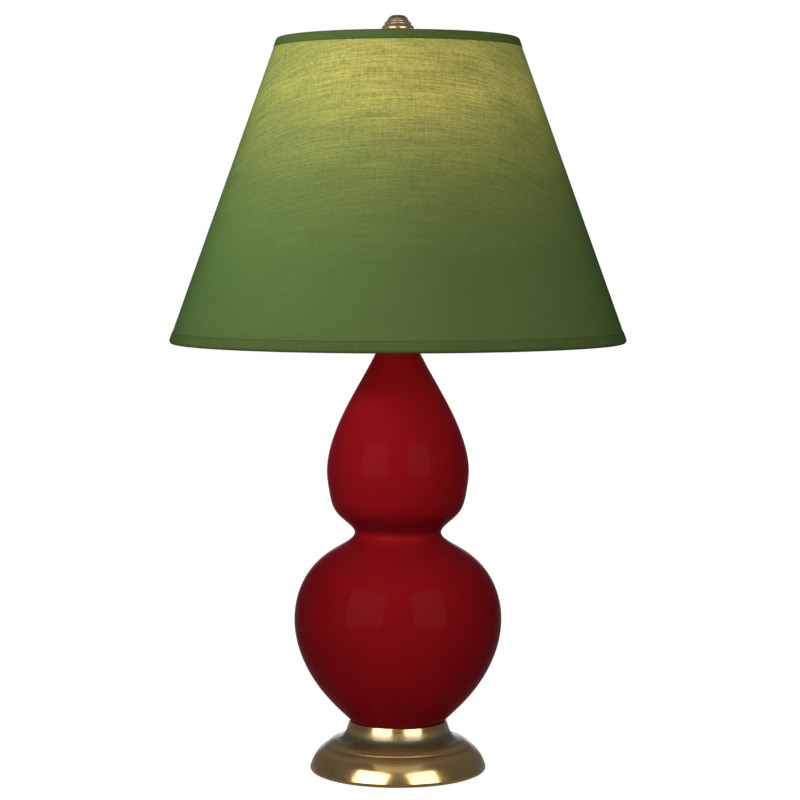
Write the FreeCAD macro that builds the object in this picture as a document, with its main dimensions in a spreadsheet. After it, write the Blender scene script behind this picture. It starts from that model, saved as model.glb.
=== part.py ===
"""Table lamp: a glazed ceramic double gourd on a stepped brass foot, with a harp and a fabric empire shade.

Millimetres. +Z is up, the origin is the centre of the underside, and +Y is the back, where the cord leaves.
Everything is threaded on one upright pipe, so each height is the sum of what is stacked below it.
"""

import FreeCAD, Part
import math
import os
import Sketcher

Vector = FreeCAD.Vector
UP = Vector(0, 0, 1)

# ---------------------------------------------------------------- driving dimensions

SIZES = [
    # fits shared by many pieces
    ("glue_line", 0.05, "gap between glued or nested skins"),
    ("slip_gap", 0.1, "radial clearance of a part that turns or slides"),
    ("loose_gap", 0.3, "clearance of a part that is only dropped in"),
    # brass foot
    ("foot_radius", 67.6, "widest radius of the foot"),
    ("foot_lift", 0.6, "height of the metal rim above the table"),
    ("rim_curl", 2.6, "radius of the curled lower rim"),
    ("shell_wall", 1.2, "wall of the spun foot"),
    ("dome_radius", 55.0, "radius at the top of the lower dome"),
    ("dome_height", 20.7, "height of the top of the lower dome"),
    ("dome_curve", 29.0, "radius of the dome's outline"),
    ("lip_radius", 54.3, "radius of the middle step's lip"),
    ("lip_height", 21.7, "height of the middle step's lip"),
    ("step_radius", 46.3, "radius at the top of the middle step"),
    ("step_height", 25.6, "height of the top of the middle step"),
    ("step_curve", 14.5, "radius of the middle step's outline"),
    ("cove_radius", 39.6, "radius at the top of the cove"),
    ("cove_height", 31.7, "height of the top of the cove"),
    ("cove_curve", 9.6, "radius of the hollow cove"),
    ("collar_radius", 37.5, "outer radius of the collar at its edge"),
    ("collar_height", 38.6, "height of the collar's edge, under its bead"),
    ("collar_depth", 5.1, "depth of the seat inside the collar"),
    # felt, iron weight and clamping nut
    ("felt_thickness", 2.0, "thickness of the felt"),
    ("weight_radius", 60.0, "radius of the iron weight"),
    ("weight_rim", 7.0, "height of the weight's thick rim"),
    ("weight_waist", 50.0, "radius where the weight's slope ends"),
    ("weight_slope", 8.0, "height of the weight's slope"),
    ("weight_boss", 32.0, "radius of the weight's top boss"),
    ("recess_radius", 15.0, "radius of the nut's recess"),
    ("recess_depth", 10.0, "depth of the nut's recess"),
    ("channel_width", 10.0, "width of the cord's channel under the weight"),
    ("channel_depth", 8.6, "depth of the cord's channel"),
    ("washer_radius", 11.0, "radius of the plain washer"),
    ("washer_thickness", 1.2, "thickness of the plain washer"),
    ("nut_flats", 14.3, "hex nut, across its flats"),
    ("nut_thickness", 4.0, "thickness of the lower hex nut"),
    # pipe
    ("pipe_radius", 4.85, "outer radius of the lamp pipe"),
    ("pipe_bore", 3.4, "bore radius of the lamp pipe"),
    ("pipe_tail", 1.8, "pipe below the lower nut"),
    ("pipe_head", 5.0, "pipe above the floor of the socket's cap"),
    # cord inlet
    ("inlet_height", 9.0, "height of the cord's inlet"),
    ("inlet_bore", 3.6, "bore radius of the inlet's bushing"),
    ("inlet_barrel", 5.0, "outer radius of the bushing's barrel"),
    ("inlet_flange", 7.2, "radius of the bushing's flange"),
    ("inlet_stand", 2.2, "how far the flange stands proud of the foot"),
    ("inlet_reach", 5.6, "how far the barrel reaches inside the foot"),
    # ceramic gourd, heights above its own foot
    ("gasket_thickness", 1.2, "rubber ring under and over the gourd"),
    ("gourd_wall", 5.0, "wall of the gourd"),
    ("gourd_foot_radius", 31.0, "radius of the gourd's foot"),
    ("ankle_radius", 42.0, "radius of the gourd just above the collar"),
    ("ankle_height", 10.3, "height of that point"),
    ("lower_flank_radius", 58.1, "lower bulb, halfway up to its belly"),
    ("lower_flank_height", 27.4, "height of that point"),
    ("belly_radius", 79.65, "widest radius of the lower bulb"),
    ("belly_height", 83.4, "height of the widest part"),
    ("shoulder_radius", 67.9, "lower bulb's shoulder"),
    ("shoulder_height", 120.5, "height of the shoulder"),
    ("slope_radius", 59.3, "radius on the slope down to the waist"),
    ("slope_height", 129.8, "height of that point"),
    ("waist_radius", 33.3, "narrowest radius between the bulbs"),
    ("waist_height", 149.4, "height of the waist"),
    ("waist_reach", 13.2, "how far the waist's curve spreads outwards"),
    ("waist_below", 10.8, "how far the waist's curve reaches down"),
    ("waist_above", 15.1, "how far the waist's curve reaches up"),
    ("crown_radius", 52.7, "upper bulb, under its widest part"),
    ("crown_height", 180.7, "height of that point"),
    ("upper_belly_radius", 54.5, "widest radius of the upper bulb"),
    ("upper_belly_height", 195.4, "height of that widest part"),
    ("upper_shoulder_radius", 49.8, "upper bulb's shoulder"),
    ("upper_shoulder_height", 222.3, "height of that shoulder"),
    ("upper_flank_radius", 40.0, "upper bulb, halfway to the neck"),
    ("upper_flank_height", 245.3, "height of that point"),
    ("neck_radius", 14.4, "radius of the gourd's neck"),
    ("neck_height", 293.0, "height where the neck turns straight"),
    ("neck_length", 3.5, "length of the straight neck"),
    # brass above the gourd
    ("cap_radius", 17.0, "radius of the brass cap over the neck"),
    ("cap_skirt", 4.4, "depth of the cap's skirt below its ceiling"),
    ("cap_rise", 7.6, "height of the cap's dome"),
    ("spacer_radius", 8.6, "radius of the spacer's ends"),
    ("spacer_waist", 6.6, "radius of the spacer's middle"),
    ("spacer_height", 22.0, "height of the spacer"),
    # saddle and harp
    ("saddle_half", 28.5, "half the distance between the harp's legs"),
    ("saddle_width", 12.0, "width of the saddle's strap"),
    ("saddle_strap", 1.6, "thickness of the strap"),
    ("saddle_rise", 10.0, "height of the strap's upright ears"),
    ("saddle_bend", 5.0, "outer radius of the strap's bends"),
    ("tongue_height", 10.0, "height of the saddle's round tongues"),
    ("lap_height", 6.0, "height of the half lap in each leg"),
    ("wire_radius", 2.0, "radius of the harp's wire"),
    ("leg_height", 24.0, "straight part of each leg"),
    ("harp_half", 50.0, "half width of the harp"),
    ("harp_bend", 30.0, "radius of the bends above the legs"),
    ("harp_rise", 188.0, "height of the shade's seat over the saddle"),
    ("sleeve_wall", 1.1, "wall of the locking sleeves"),
    ("sleeve_height", 14.0, "height of the locking sleeves"),
    ("pad_length", 16.0, "length of the harp's flattened top"),
    ("pad_width", 9.0, "width of the flattened top"),
    ("seat_radius", 8.5, "radius of the shade's seat"),
    ("seat_height", 2.6, "height of the shade's seat"),
    ("shank_radius", 2.6, "radius of the stud's shank"),
    ("rivet_radius", 4.2, "radius of the stud's riveted head"),
    ("rivet_height", 1.8, "height of the riveted head"),
    ("stud_radius", 3.175, "radius of the quarter inch thread"),
    ("stud_height", 11.0, "height of the threaded end"),
    ("stud_pitch", 0.94, "pitch of 27 threads to the inch"),
    # lampholder
    ("thin_nut", 3.5, "thickness of the nut on the saddle"),
    ("holder_boss", 7.4, "radius of the cap's threaded boss"),
    ("holder_boss_height", 4.2, "height of the boss"),
    ("holder_radius", 16.3, "outer radius of the holder's shell"),
    ("holder_wall", 0.7, "wall of the shell and its cap"),
    ("holder_cap_height", 20.0, "height of the cap"),
    ("holder_shell_height", 42.0, "height of the shell"),
    ("holder_overlap", 4.0, "how far the shell goes into the cap"),
    ("holder_lip", 1.2, "turned-in lip at the shell's mouth"),
    ("card_wall", 0.7, "wall of the card liner"),
    ("core_height", 20.0, "height of the phenolic core"),
    ("core_flat", 11.0, "distance of the terminal flats from the axis"),
    ("core_flat_height", 11.0, "height of the terminal flats"),
    ("screw_head", 3.2, "radius of a terminal screw's head"),
    ("screw_head_height", 1.7, "height of a terminal screw's head"),
    ("screw_shank", 1.7, "radius of a terminal screw's shank"),
    ("screw_length", 5.0, "length of a terminal screw's shank"),
    ("thread_shell_height", 21.0, "height of the threaded shell"),
    ("thread_shell_wall", 0.4, "wall of the threaded shell"),
    ("tongue_rise", 2.0, "height of the sprung centre contact"),
    ("tongue_width", 6.0, "width of the centre contact"),
    ("tongue_sheet", 0.5, "thickness of the centre contact"),
    # switch
    ("switch_height", 12.0, "height of the switch's shaft above the core's foot"),
    ("shaft_radius", 2.0, "radius of the switch's shaft"),
    ("shaft_depth", 6.0, "how deep the shaft sits in the core"),
    ("key_boss", 4.4, "radius of the key's round boss"),
    ("key_boss_length", 6.0, "length of the key's round boss"),
    ("key_gap", 2.2, "gap between the shell and the key"),
    ("key_width", 17.0, "width of the key's paddle"),
    ("key_length", 12.0, "length of the key's paddle"),
    ("key_thickness", 5.0, "thickness of the key's paddle"),
    ("slot_radius", 4.0, "radius of the shaft's opening in the shell"),
    # bulb
    ("bulb_radius", 30.0, "radius of the bulb's globe"),
    ("bulb_length", 108.0, "length of the bulb"),
    ("bulb_glass", 0.8, "wall of the bulb's glass"),
    ("bulb_shoulder_radius", 24.6, "where the globe meets the neck's curve"),
    ("bulb_neck_radius", 13.0, "radius at the top of the straight neck"),
    ("bulb_neck_height", 33.0, "height of that point over the bulb's tip"),
    ("bulb_flare", 68.0, "radius of the neck's hollow curve"),
    ("bulb_root_radius", 12.3, "radius of the glass inside its cap"),
    ("bulb_cap_radius", 13.05, "crest radius of the bulb's thread"),
    ("bulb_cap_height", 26.5, "height of the metal cap's rim over the tip"),
    ("bulb_cap_wall", 0.4, "wall of the metal cap"),
    ("bulb_thread_pitch", 3.63, "pitch of seven threads to the inch"),
    ("bulb_thread_depth", 0.6, "depth of the bulb's thread"),
    ("tip_radius", 4.0, "radius of the solder tip"),
    ("tip_height", 1.6, "height of the solder tip"),
    ("disc_radius", 9.4, "radius of the black glass disc"),
    ("disc_height", 3.4, "height of the black glass disc"),
    ("stem_radius", 3.6, "radius of the inner glass stem"),
    ("stem_height", 31.0, "height of the inner glass stem"),
    ("stem_flare", 1.4, "height of the stem's flared foot"),
    ("filament_half", 11.0, "half width of the filament"),
    ("filament_rise", 17.0, "height of the filament above the stem"),
    ("lead_radius", 0.4, "radius of the filament's supports"),
    ("coil_radius", 0.7, "radius of the coiled filament"),
    # shade
    ("shade_top_radius", 91.6, "radius at the shade's top edge"),
    ("shade_bottom_radius", 174.6, "radius at the shade's bottom edge"),
    ("shade_height", 230.4, "upright height of the shade"),
    ("spider_drop", 11.4, "depth of the spider's washer below the top edge"),
    ("fabric_thickness", 0.5, "thickness of the cover cloth"),
    ("liner_thickness", 0.8, "thickness of the stiff liner"),
    ("ring_radius", 1.2, "radius of the shade's ring wire"),
    ("tape_thickness", 0.45, "thickness of the trim tape"),
    ("fold_gap", 0.15, "gap between a ring wire and the tape folded over it"),
    ("tape_outside", 8.2, "width of the tape outside the shade"),
    ("tape_inside", 7.0, "width of the tape inside the shade"),
    ("hub_radius", 11.5, "radius of the spider's washer"),
    ("hub_bore", 3.5, "radius of the hole in the washer"),
    ("hub_thickness", 2.0, "thickness of the washer"),
    ("arm_radius", 1.5, "radius of the spider's arms"),
    # finial
    ("finial_height", 26.0, "height of the finial"),
    ("finial_foot", 6.2, "radius of the finial's foot"),
    ("finial_foot_height", 2.4, "height of the finial's foot"),
    ("finial_stem", 4.7, "radius of the finial's stem"),
    ("finial_stem_height", 9.0, "height of the top of the stem"),
    ("finial_tier_radius", 12.2, "radius of the widest tier"),
    ("finial_tier_height", 6.4, "height of the tiers together, less the cap"),
    ("finial_tier_step", 1.9, "how much each tier is narrower"),
    ("finial_under", 15.2, "height of the widest tier's underside"),
    ("finial_flat", 4.0, "radius of the flat top"),
    ("finial_bore_depth", 12.5, "depth of the threaded hole"),
]

doc = FreeCAD.newDocument("GourdLamp")
sheet = doc.addObject("Spreadsheet::Sheet", "Sizes")
for row, (alias, number, note) in enumerate(SIZES, start=1):
    sheet.set(f"A{row}", note)
    sheet.set(f"B{row}", str(number))
    sheet.setAlias(f"B{row}", alias)
doc.recompute()


class Size:
    """A number together with its formula in the sheet's named cells, so that sums of sizes can be bound."""

    def __init__(self, value, text):
        self.value = float(value)
        self.text = text

    def _with(self, other, sign, work, turned=False):
        other = other if isinstance(other, Size) else Size(other, repr(other))
        first, second = (other, self) if turned else (self, other)
        return Size(work(first.value, second.value), f"({first.text} {sign} {second.text})")

    def __add__(self, other):
        return self._with(other, "+", lambda a, b: a + b)

    def __radd__(self, other):
        return self._with(other, "+", lambda a, b: a + b, turned=True)

    def __sub__(self, other):
        return self._with(other, "-", lambda a, b: a - b)

    def __rsub__(self, other):
        return self._with(other, "-", lambda a, b: a - b, turned=True)

    def __mul__(self, other):
        return self._with(other, "*", lambda a, b: a * b)

    __rmul__ = __mul__

    def __truediv__(self, other):
        return self._with(other, "/", lambda a, b: a / b)

    def __neg__(self):
        return Size(-self.value, f"(-1 * {self.text})")

    def root(self):
        return Size(math.sqrt(self.value), f"sqrt({self.text})")


class NamedSizes:
    """Reads a size from the sheet by its name."""

    def __getattr__(self, alias):
        return Size(sheet.get(alias), f"Sizes.{alias}")


S = NamedSizes()
ZERO = Size(0, "0")
THREAD_CREST = (0.35, 0.65)  # where a drawn thread's flat begins and ends, as shares of its pitch

# ---------------------------------------------------------------- drawing helpers

pieces = []


def keep(piece):
    """Counts a document object among the lamp's pieces."""
    pieces.append(piece)
    return piece


def new_body(name):
    body = doc.addObject("PartDesign::Body", name)
    body.Label = name
    return body


def new_sketch(body, name, plane, offset=(ZERO, ZERO, ZERO)):
    """A sketch on one of the body's origin planes, moved by offset in the sketch's own directions."""
    sketch = body.newObject("Sketcher::SketchObject", name)
    support = next(f for f in body.Origin.OriginFeatures if f.Role == plane)
    sketch.AttachmentSupport = [(support, "")]
    sketch.MapMode = "FlatFace"
    shift = Vector(*[part.value for part in offset])
    sketch.AttachmentOffset = FreeCAD.Placement(shift, FreeCAD.Rotation())
    for letter, part in zip("xyz", offset):
        if part is not ZERO:
            sketch.setExpression(f"AttachmentOffset.Base.{letter}", part.text)
    return sketch


def pin_point(sketch, edge, end, point):
    """Holds one end of an edge at a point whose coordinates are sizes."""
    for kind, axis, coordinate in (("DistanceX", -2, point[0]), ("DistanceY", -1, point[1])):
        if coordinate is ZERO:
            sketch.addConstraint(Sketcher.Constraint("PointOnObject", edge, end, axis))
        else:
            index = sketch.addConstraint(Sketcher.Constraint(kind, -1, 1, edge, end, coordinate.value))
            sketch.setExpression(f"Constraints[{index}]", coordinate.text)


def arc_between(start, end, radius):
    """The short arc from start to end: anticlockwise for a positive radius, clockwise for a negative one."""
    chord = end - start
    reach = abs(radius)
    side = Vector(-chord.y, chord.x, 0).normalize() * math.copysign(1, radius)
    centre = (start + end) / 2 + side * math.sqrt(reach**2 - chord.Length**2 / 4)
    first, last = (start, end) if radius > 0 else (end, start)
    angles = [math.atan2(p.y - centre.y, p.x - centre.x) for p in (first, last)]
    return Part.ArcOfCircle(Part.Circle(centre, UP, reach), *angles)


def draw_chain(sketch, corners, closed=True):
    """Draws a chain through corners (x, y) or (x, y, radius), where a radius bends the run that follows."""
    count = len(corners)
    ends = []
    for i in range(count if closed else count - 1):
        here, there = corners[i], corners[(i + 1) % count]
        start = Vector(here[0].value, here[1].value, 0)
        end = Vector(there[0].value, there[1].value, 0)
        if len(here) == 3:
            edge = sketch.addGeometry(arc_between(start, end, here[2].value), False)
            index = sketch.addConstraint(Sketcher.Constraint("Radius", edge, abs(here[2].value)))
            sketch.setExpression(f"Constraints[{index}]", f"abs({here[2].text})")
            ends.append((edge, 1, 2) if here[2].value > 0 else (edge, 2, 1))
        else:
            edge = sketch.addGeometry(Part.LineSegment(start, end), False)
            ends.append((edge, 1, 2))
    for i, (edge, first, last) in enumerate(ends):
        pin_point(sketch, edge, first, corners[i])
        if i + 1 < len(ends) or closed:
            follower = ends[(i + 1) % len(ends)]
            sketch.addConstraint(Sketcher.Constraint("Coincident", edge, last, follower[0], follower[1]))
        else:
            pin_point(sketch, edge, last, corners[-1])
    return sketch


def draw_circle(sketch, centre, radius):
    circle = Part.Circle(Vector(centre[0].value, centre[1].value, 0), UP, radius.value)
    edge = sketch.addGeometry(circle, False)
    pin_point(sketch, edge, 3, centre)
    index = sketch.addConstraint(Sketcher.Constraint("Radius", edge, radius.value))
    sketch.setExpression(f"Constraints[{index}]", radius.text)
    return sketch


def box_corners(low, high):
    return [(low[0], low[1]), (high[0], low[1]), (high[0], high[1]), (low[0], high[1])]


def revolve(body, sketch, axis="V_Axis", feature="PartDesign::Revolution"):
    turn = body.newObject(feature, sketch.Name + "_turn")
    turn.Profile = sketch
    turn.ReferenceAxis = (sketch, [axis])
    turn.Angle = 360
    return turn


def turned(name, corners, along="Z", across=ZERO, height=ZERO):
    """A lathe-turned body. Corners are (radius, distance along the axis). The axis runs along Z, Y or X."""
    body = new_body(name)
    if along == "Z":
        sketch = new_sketch(body, name + "_outline", "XZ_Plane", (across, ZERO, ZERO))
        draw_chain(sketch, corners)
        revolve(body, sketch)
    else:
        plane = "YZ_Plane" if along == "Y" else "XZ_Plane"
        sketch = new_sketch(body, name + "_outline", plane, (ZERO, height, ZERO))
        draw_chain(sketch, [(c[1], c[0], -c[2]) if len(c) == 3 else (c[1], c[0]) for c in corners])
        revolve(body, sketch, "H_Axis")
    return body


def ring_corners(inner, outer, low, high):
    """Corners of a plain ring or washer."""
    return box_corners((inner, low), (outer, high))


def pad(body, sketch, length, both_ways=False):
    feature = body.newObject("PartDesign::Pad", sketch.Name + "_pad")
    feature.Profile = sketch
    feature.setExpression("Length", length.text)
    feature.Midplane = both_ways
    return feature


def pocket(body, sketch, length=None, both_ways=False, reverse=False):
    """Cuts a sketch out of a body, through everything unless a length is given, and checks that it cut."""
    doc.recompute()
    before = body.Shape.Volume
    feature = body.newObject("PartDesign::Pocket", sketch.Name + "_cut")
    feature.Profile = sketch
    feature.Midplane = both_ways
    feature.Reversed = reverse
    if length is None:
        feature.Type = "ThroughAll"
    else:
        feature.setExpression("Length", length.text)
    doc.recompute()
    if not body.Shape.Volume < before:
        raise ValueError(f"{feature.Name} removed nothing")
    return feature


def hex_nut(name, flats, bore, low, thickness):
    body = new_body(name)
    sketch = new_sketch(body, name + "_outline", "XY_Plane", (ZERO, ZERO, low))
    half = flats / 2
    corner = half * Size(2 / math.sqrt(3), "(2 / sqrt(3))")
    draw_chain(
        sketch,
        [(corner, ZERO), (corner / 2, half), (-corner / 2, half)]
        + [(-corner, ZERO), (-corner / 2, -half), (corner / 2, -half)],
    )
    draw_circle(sketch, (ZERO, ZERO), bore)
    pad(body, sketch, thickness)
    return body


# ---------------------------------------------------------------- heights of the stack on the pipe

pipe_hole = S.pipe_radius + S.slip_gap
seat_z = S.collar_height - S.collar_depth
gourd_z = seat_z + S.gasket_thickness
gourd_top_z = gourd_z + S.neck_height + S.neck_length
cap_ceiling_z = gourd_top_z + S.gasket_thickness
spacer_z = cap_ceiling_z + S.cap_rise
saddle_z = spacer_z + S.spacer_height
thin_nut_z = saddle_z + S.saddle_strap
holder_z = thin_nut_z + S.thin_nut
pipe_top_z = holder_z + S.holder_boss_height + S.pipe_head
holder_rim_z = holder_z + S.holder_cap_height
shell_z = holder_rim_z - S.holder_overlap
shell_top_z = shell_z + S.holder_shell_height
core_z = shell_z - S.loose_gap
core_top_z = core_z + S.core_height
bulb_z = core_top_z + S.tongue_rise + S.slip_gap
shade_seat_z = saddle_z + S.harp_rise
shade_top_z = shade_seat_z + S.spider_drop
finial_z = shade_seat_z + S.hub_thickness

# ---------------------------------------------------------------- brass foot


def foot_outline():
    """The foot's outer outline from its curled rim up to the collar's edge."""
    widest_z = S.foot_lift + S.rim_curl
    return [
        (S.foot_radius - S.rim_curl, S.foot_lift, S.rim_curl),
        (S.foot_radius, widest_z, S.dome_curve),
        (S.dome_radius, S.dome_height),
        (S.lip_radius, S.lip_height, S.step_curve),
        (S.step_radius, S.step_height, -S.cove_curve),
        (S.cove_radius, S.cove_height),
        (S.collar_radius, S.collar_height),
    ]


def foot_lining():
    """The foot's inner outline, one wall in from the outer one, from the seat back to the rim."""
    wall = S.shell_wall
    return [
        (pipe_hole, seat_z),
        (pipe_hole, seat_z - wall),
        (S.cove_radius - 2 * wall, seat_z - wall),
        (S.cove_radius - wall, S.cove_height - wall, S.cove_curve + wall),
        (S.step_radius - wall / 2, S.step_height - wall, -(S.step_curve - wall)),
        (S.lip_radius - wall, S.lip_height - wall / 2),
        (S.dome_radius - wall, S.dome_height - wall / 2, -(S.dome_curve - wall)),
        (S.foot_radius - wall, S.foot_lift + S.rim_curl, -(S.rim_curl - wall)),
        (S.foot_radius - S.rim_curl, S.foot_lift + wall),
    ]


def make_base_shell():
    bead = S.shell_wall / 2
    inside = S.collar_radius - S.shell_wall
    outline = foot_outline()
    outline[-1] = outline[-1] + (bead,)
    collar = [(inside + bead, S.collar_height + bead, bead), (inside, S.collar_height), (inside, seat_z)]
    shell = turned("base_shell", outline + collar + foot_lining())
    hole = new_sketch(shell, "inlet_hole", "XZ_Plane")
    draw_circle(hole, (ZERO, S.inlet_height), S.inlet_barrel + S.slip_gap)
    pocket(shell, hole)
    return keep(shell)


def make_cord_bushing():
    """A plastic bushing in the back wall. Its flange is fitted to the curve of the foot."""
    solid_foot = turned("foot_envelope", foot_outline() + [(ZERO, S.collar_height), (ZERO, S.foot_lift)])
    flange_end = S.foot_radius + S.inlet_stand
    flange_root = S.foot_radius - 2 * S.inlet_reach
    flange = turned(
        "bushing_flange",
        ring_corners(S.inlet_bore, S.inlet_flange, flange_root, flange_end),
        "Y",
        height=S.inlet_height,
    )
    fitted = doc.addObject("Part::Cut", "bushing_flange_fitted")
    fitted.Base = flange
    fitted.Tool = solid_foot
    barrel = turned(
        "bushing_barrel",
        ring_corners(S.inlet_bore, S.inlet_barrel, S.foot_radius - S.inlet_reach, flange_end),
        "Y",
        height=S.inlet_height,
    )
    bushing = doc.addObject("Part::Fuse", "cord_bushing")
    bushing.Base = fitted
    bushing.Tool = barrel
    bushing.Label = "cord_bushing"
    return keep(bushing)


def make_weight():
    """Cast iron weight: it rests on the felt, and its boss reaches the underside of the foot's seat."""
    low = S.felt_thickness
    top = seat_z - S.shell_wall
    slope_top = low + S.weight_rim + S.weight_slope
    ceiling = low + S.recess_depth
    weight = turned(
        "base_weight",
        [
            (S.recess_radius, low),
            (S.weight_radius, low),
            (S.weight_radius, low + S.weight_rim),
            (S.weight_waist, slope_top),
            (S.weight_boss, slope_top),
            (S.weight_boss, top),
            (pipe_hole, top),
            (pipe_hole, ceiling),
            (S.recess_radius, ceiling),
        ],
    )
    channel = new_sketch(weight, "cord_channel", "XY_Plane", (ZERO, ZERO, low))
    half = S.channel_width / 2
    draw_chain(channel, box_corners((-half, ZERO), (half, S.weight_radius + S.rim_curl)))
    pocket(weight, channel, S.channel_depth, reverse=True)
    return keep(weight)


def make_clamp():
    """Felt, washer and hex nut at the bottom of the pipe, and the pipe itself."""
    felt_radius = S.foot_radius - S.rim_curl - S.loose_gap
    keep(turned("felt_pad", box_corners((ZERO, ZERO), (felt_radius, S.felt_thickness))))
    ceiling = S.felt_thickness + S.recess_depth
    washer_low = ceiling - S.washer_thickness
    keep(turned("bottom_washer", ring_corners(pipe_hole, S.washer_radius, washer_low, ceiling)))
    nut_low = washer_low - S.nut_thickness
    keep(hex_nut("bottom_nut", S.nut_flats, pipe_hole, nut_low, S.nut_thickness))
    pipe_low = nut_low - S.pipe_tail
    keep(turned("lamp_pipe", ring_corners(S.pipe_bore, S.pipe_radius, pipe_low, pipe_top_z)))


# ---------------------------------------------------------------- ceramic gourd and its brass cap


def gourd_points():
    """Points on the gourd's outer outline, from its foot to the start of its neck."""
    return [
        (S.gourd_foot_radius, ZERO),
        (S.ankle_radius, S.ankle_height),
        (S.lower_flank_radius, S.lower_flank_height),
        (S.belly_radius, S.belly_height),
        (S.shoulder_radius, S.shoulder_height),
        (S.slope_radius, S.slope_height),
        (S.waist_radius + S.waist_reach, S.waist_height - S.waist_below),
        (S.waist_radius, S.waist_height),
        (S.waist_radius + S.waist_reach, S.waist_height + S.waist_above),
        (S.crown_radius, S.crown_height),
        (S.upper_belly_radius, S.upper_belly_height),
        (S.upper_shoulder_radius, S.upper_shoulder_height),
        (S.upper_flank_radius, S.upper_flank_height),
        (S.neck_radius, S.neck_height),
    ]


def make_gourd():
    """The gourd is slip cast: one smooth curve, with an inner face one wall thickness inside it."""
    foot_z, wall = gourd_z.value, S.gourd_wall.value
    points = [Vector(r.value, 0, foot_z + z.value) for r, z in gourd_points()]
    outer = Part.BSplineCurve()
    outer.interpolate(points)
    inner_points = []
    for point in points:
        tangent = outer.tangent(outer.parameter(point))[0]
        inner_points.append(point + Vector(-tangent.z, 0, tangent.x) * wall)
    inner_points[0].z = foot_z
    inner_points[-1].z = foot_z + S.neck_height.value
    inner = Part.BSplineCurve()
    inner.interpolate(inner_points)
    top = gourd_top_z.value
    outer_neck = Vector(S.neck_radius.value, 0, top)
    inner_neck = Vector(inner_points[-1].x, 0, top)
    edges = [
        outer.toShape(),
        Part.makeLine(points[-1], outer_neck),
        Part.makeLine(outer_neck, inner_neck),
        Part.makeLine(inner_neck, inner_points[-1]),
        inner.toShape(),
        Part.makeLine(inner_points[0], points[0]),
    ]
    face = Part.Face(Part.Wire(Part.__sortEdges__(edges)))
    gourd = doc.addObject("Part::Feature", "gourd_body")
    gourd.Shape = face.revolve(Vector(), UP, 360)
    gourd.Placement = FreeCAD.Placement()
    gourd.Label = "gourd_body"
    return keep(gourd)


def make_gourd_fittings():
    """Rubber rings under and over the gourd, the brass cap on its neck, and the turned spacer."""
    foot_inner = S.gourd_foot_radius - S.gourd_wall
    foot_outer = S.gourd_foot_radius - S.loose_gap
    keep(turned("foot_gasket", ring_corners(foot_inner, foot_outer, seat_z, gourd_z)))
    neck_outer = S.neck_radius - S.loose_gap
    keep(turned("neck_gasket", ring_corners(pipe_hole, neck_outer, gourd_top_z, cap_ceiling_z)))
    skirt_z = cap_ceiling_z - S.cap_skirt
    skirt_inner = S.neck_radius + 4 * S.loose_gap
    keep(
        turned(
            "neck_cap",
            [
                (skirt_inner, skirt_z),
                (S.cap_radius, skirt_z),
                (S.cap_radius, cap_ceiling_z, S.cap_rise * 1.6),
                (S.spacer_radius, spacer_z),
                (pipe_hole, spacer_z),
                (pipe_hole, cap_ceiling_z),
                (skirt_inner, cap_ceiling_z),
            ],
        )
    )
    foot_ring = S.spacer_height / 8
    hollow = S.spacer_height * 0.9
    spacer_top_z = spacer_z + S.spacer_height
    keep(
        turned(
            "neck_spacer",
            [
                (pipe_hole, spacer_z),
                (S.spacer_radius, spacer_z),
                (S.spacer_radius, spacer_z + foot_ring),
                (S.spacer_waist, spacer_z + 2 * foot_ring, -hollow),
                (S.spacer_waist, spacer_top_z - 2 * foot_ring),
                (S.spacer_radius, spacer_top_z - foot_ring),
                (S.spacer_radius, spacer_top_z),
                (pipe_hole, spacer_top_z),
            ],
        )
    )


# ---------------------------------------------------------------- saddle, harp and shade seat

ear_z = saddle_z + S.saddle_rise
lap_top_z = ear_z + S.tongue_height
lap_low_z = lap_top_z - S.lap_height


def cut_lap(body, name, low, high, back):
    """Halves both legs between two heights. back cuts the half behind, and otherwise the half in front."""
    reach = S.wire_radius + S.slip_gap
    edge = -S.slip_gap / 2 if back else S.slip_gap / 2
    far = reach if back else -reach
    for side, centre in (("right", S.saddle_half), ("left", -S.saddle_half)):
        sketch = new_sketch(body, f"{name}_{side}", "XY_Plane", (ZERO, ZERO, low))
        corners = box_corners((centre - reach, edge), (centre + reach, far))
        draw_chain(sketch, corners)
        pocket(body, sketch, high - low, reverse=True)


def make_saddle():
    """A strap bent to a U, with a round tongue on each ear. The upper part of each tongue is half round."""
    body = new_body("harp_saddle")
    strap = S.saddle_strap
    outside = S.saddle_half + strap / 2
    inside = outside - strap
    bend = S.saddle_bend
    sketch = new_sketch(body, "saddle_strap_outline", "XZ_Plane")
    draw_chain(
        sketch,
        [
            (-(outside - bend), saddle_z),
            (outside - bend, saddle_z, bend),
            (outside, saddle_z + bend),
            (outside, ear_z),
            (inside, ear_z),
            (inside, saddle_z + bend, -(bend - strap)),
            (inside - (bend - strap), saddle_z + strap),
            (-(inside - (bend - strap)), saddle_z + strap, -(bend - strap)),
            (-inside, saddle_z + bend),
            (-inside, ear_z),
            (-outside, ear_z),
            (-outside, saddle_z + bend, bend),
        ],
    )
    pad(body, sketch, S.saddle_width, both_ways=True)
    for side, centre in (("right", S.saddle_half), ("left", -S.saddle_half)):
        root_z = ear_z - S.saddle_bend
        tongue = new_sketch(body, f"tongue_{side}", "XY_Plane", (ZERO, ZERO, root_z))
        draw_circle(tongue, (centre, ZERO), S.wire_radius)
        pad(body, tongue, lap_top_z - root_z)
    hole = new_sketch(body, "saddle_hole", "XY_Plane", (ZERO, ZERO, saddle_z))
    draw_circle(hole, (ZERO, ZERO), pipe_hole)
    pocket(body, hole, strap, reverse=True)
    cut_lap(body, "tongue_lap", lap_low_z, lap_top_z + S.slip_gap, back=True)
    return keep(body)


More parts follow.
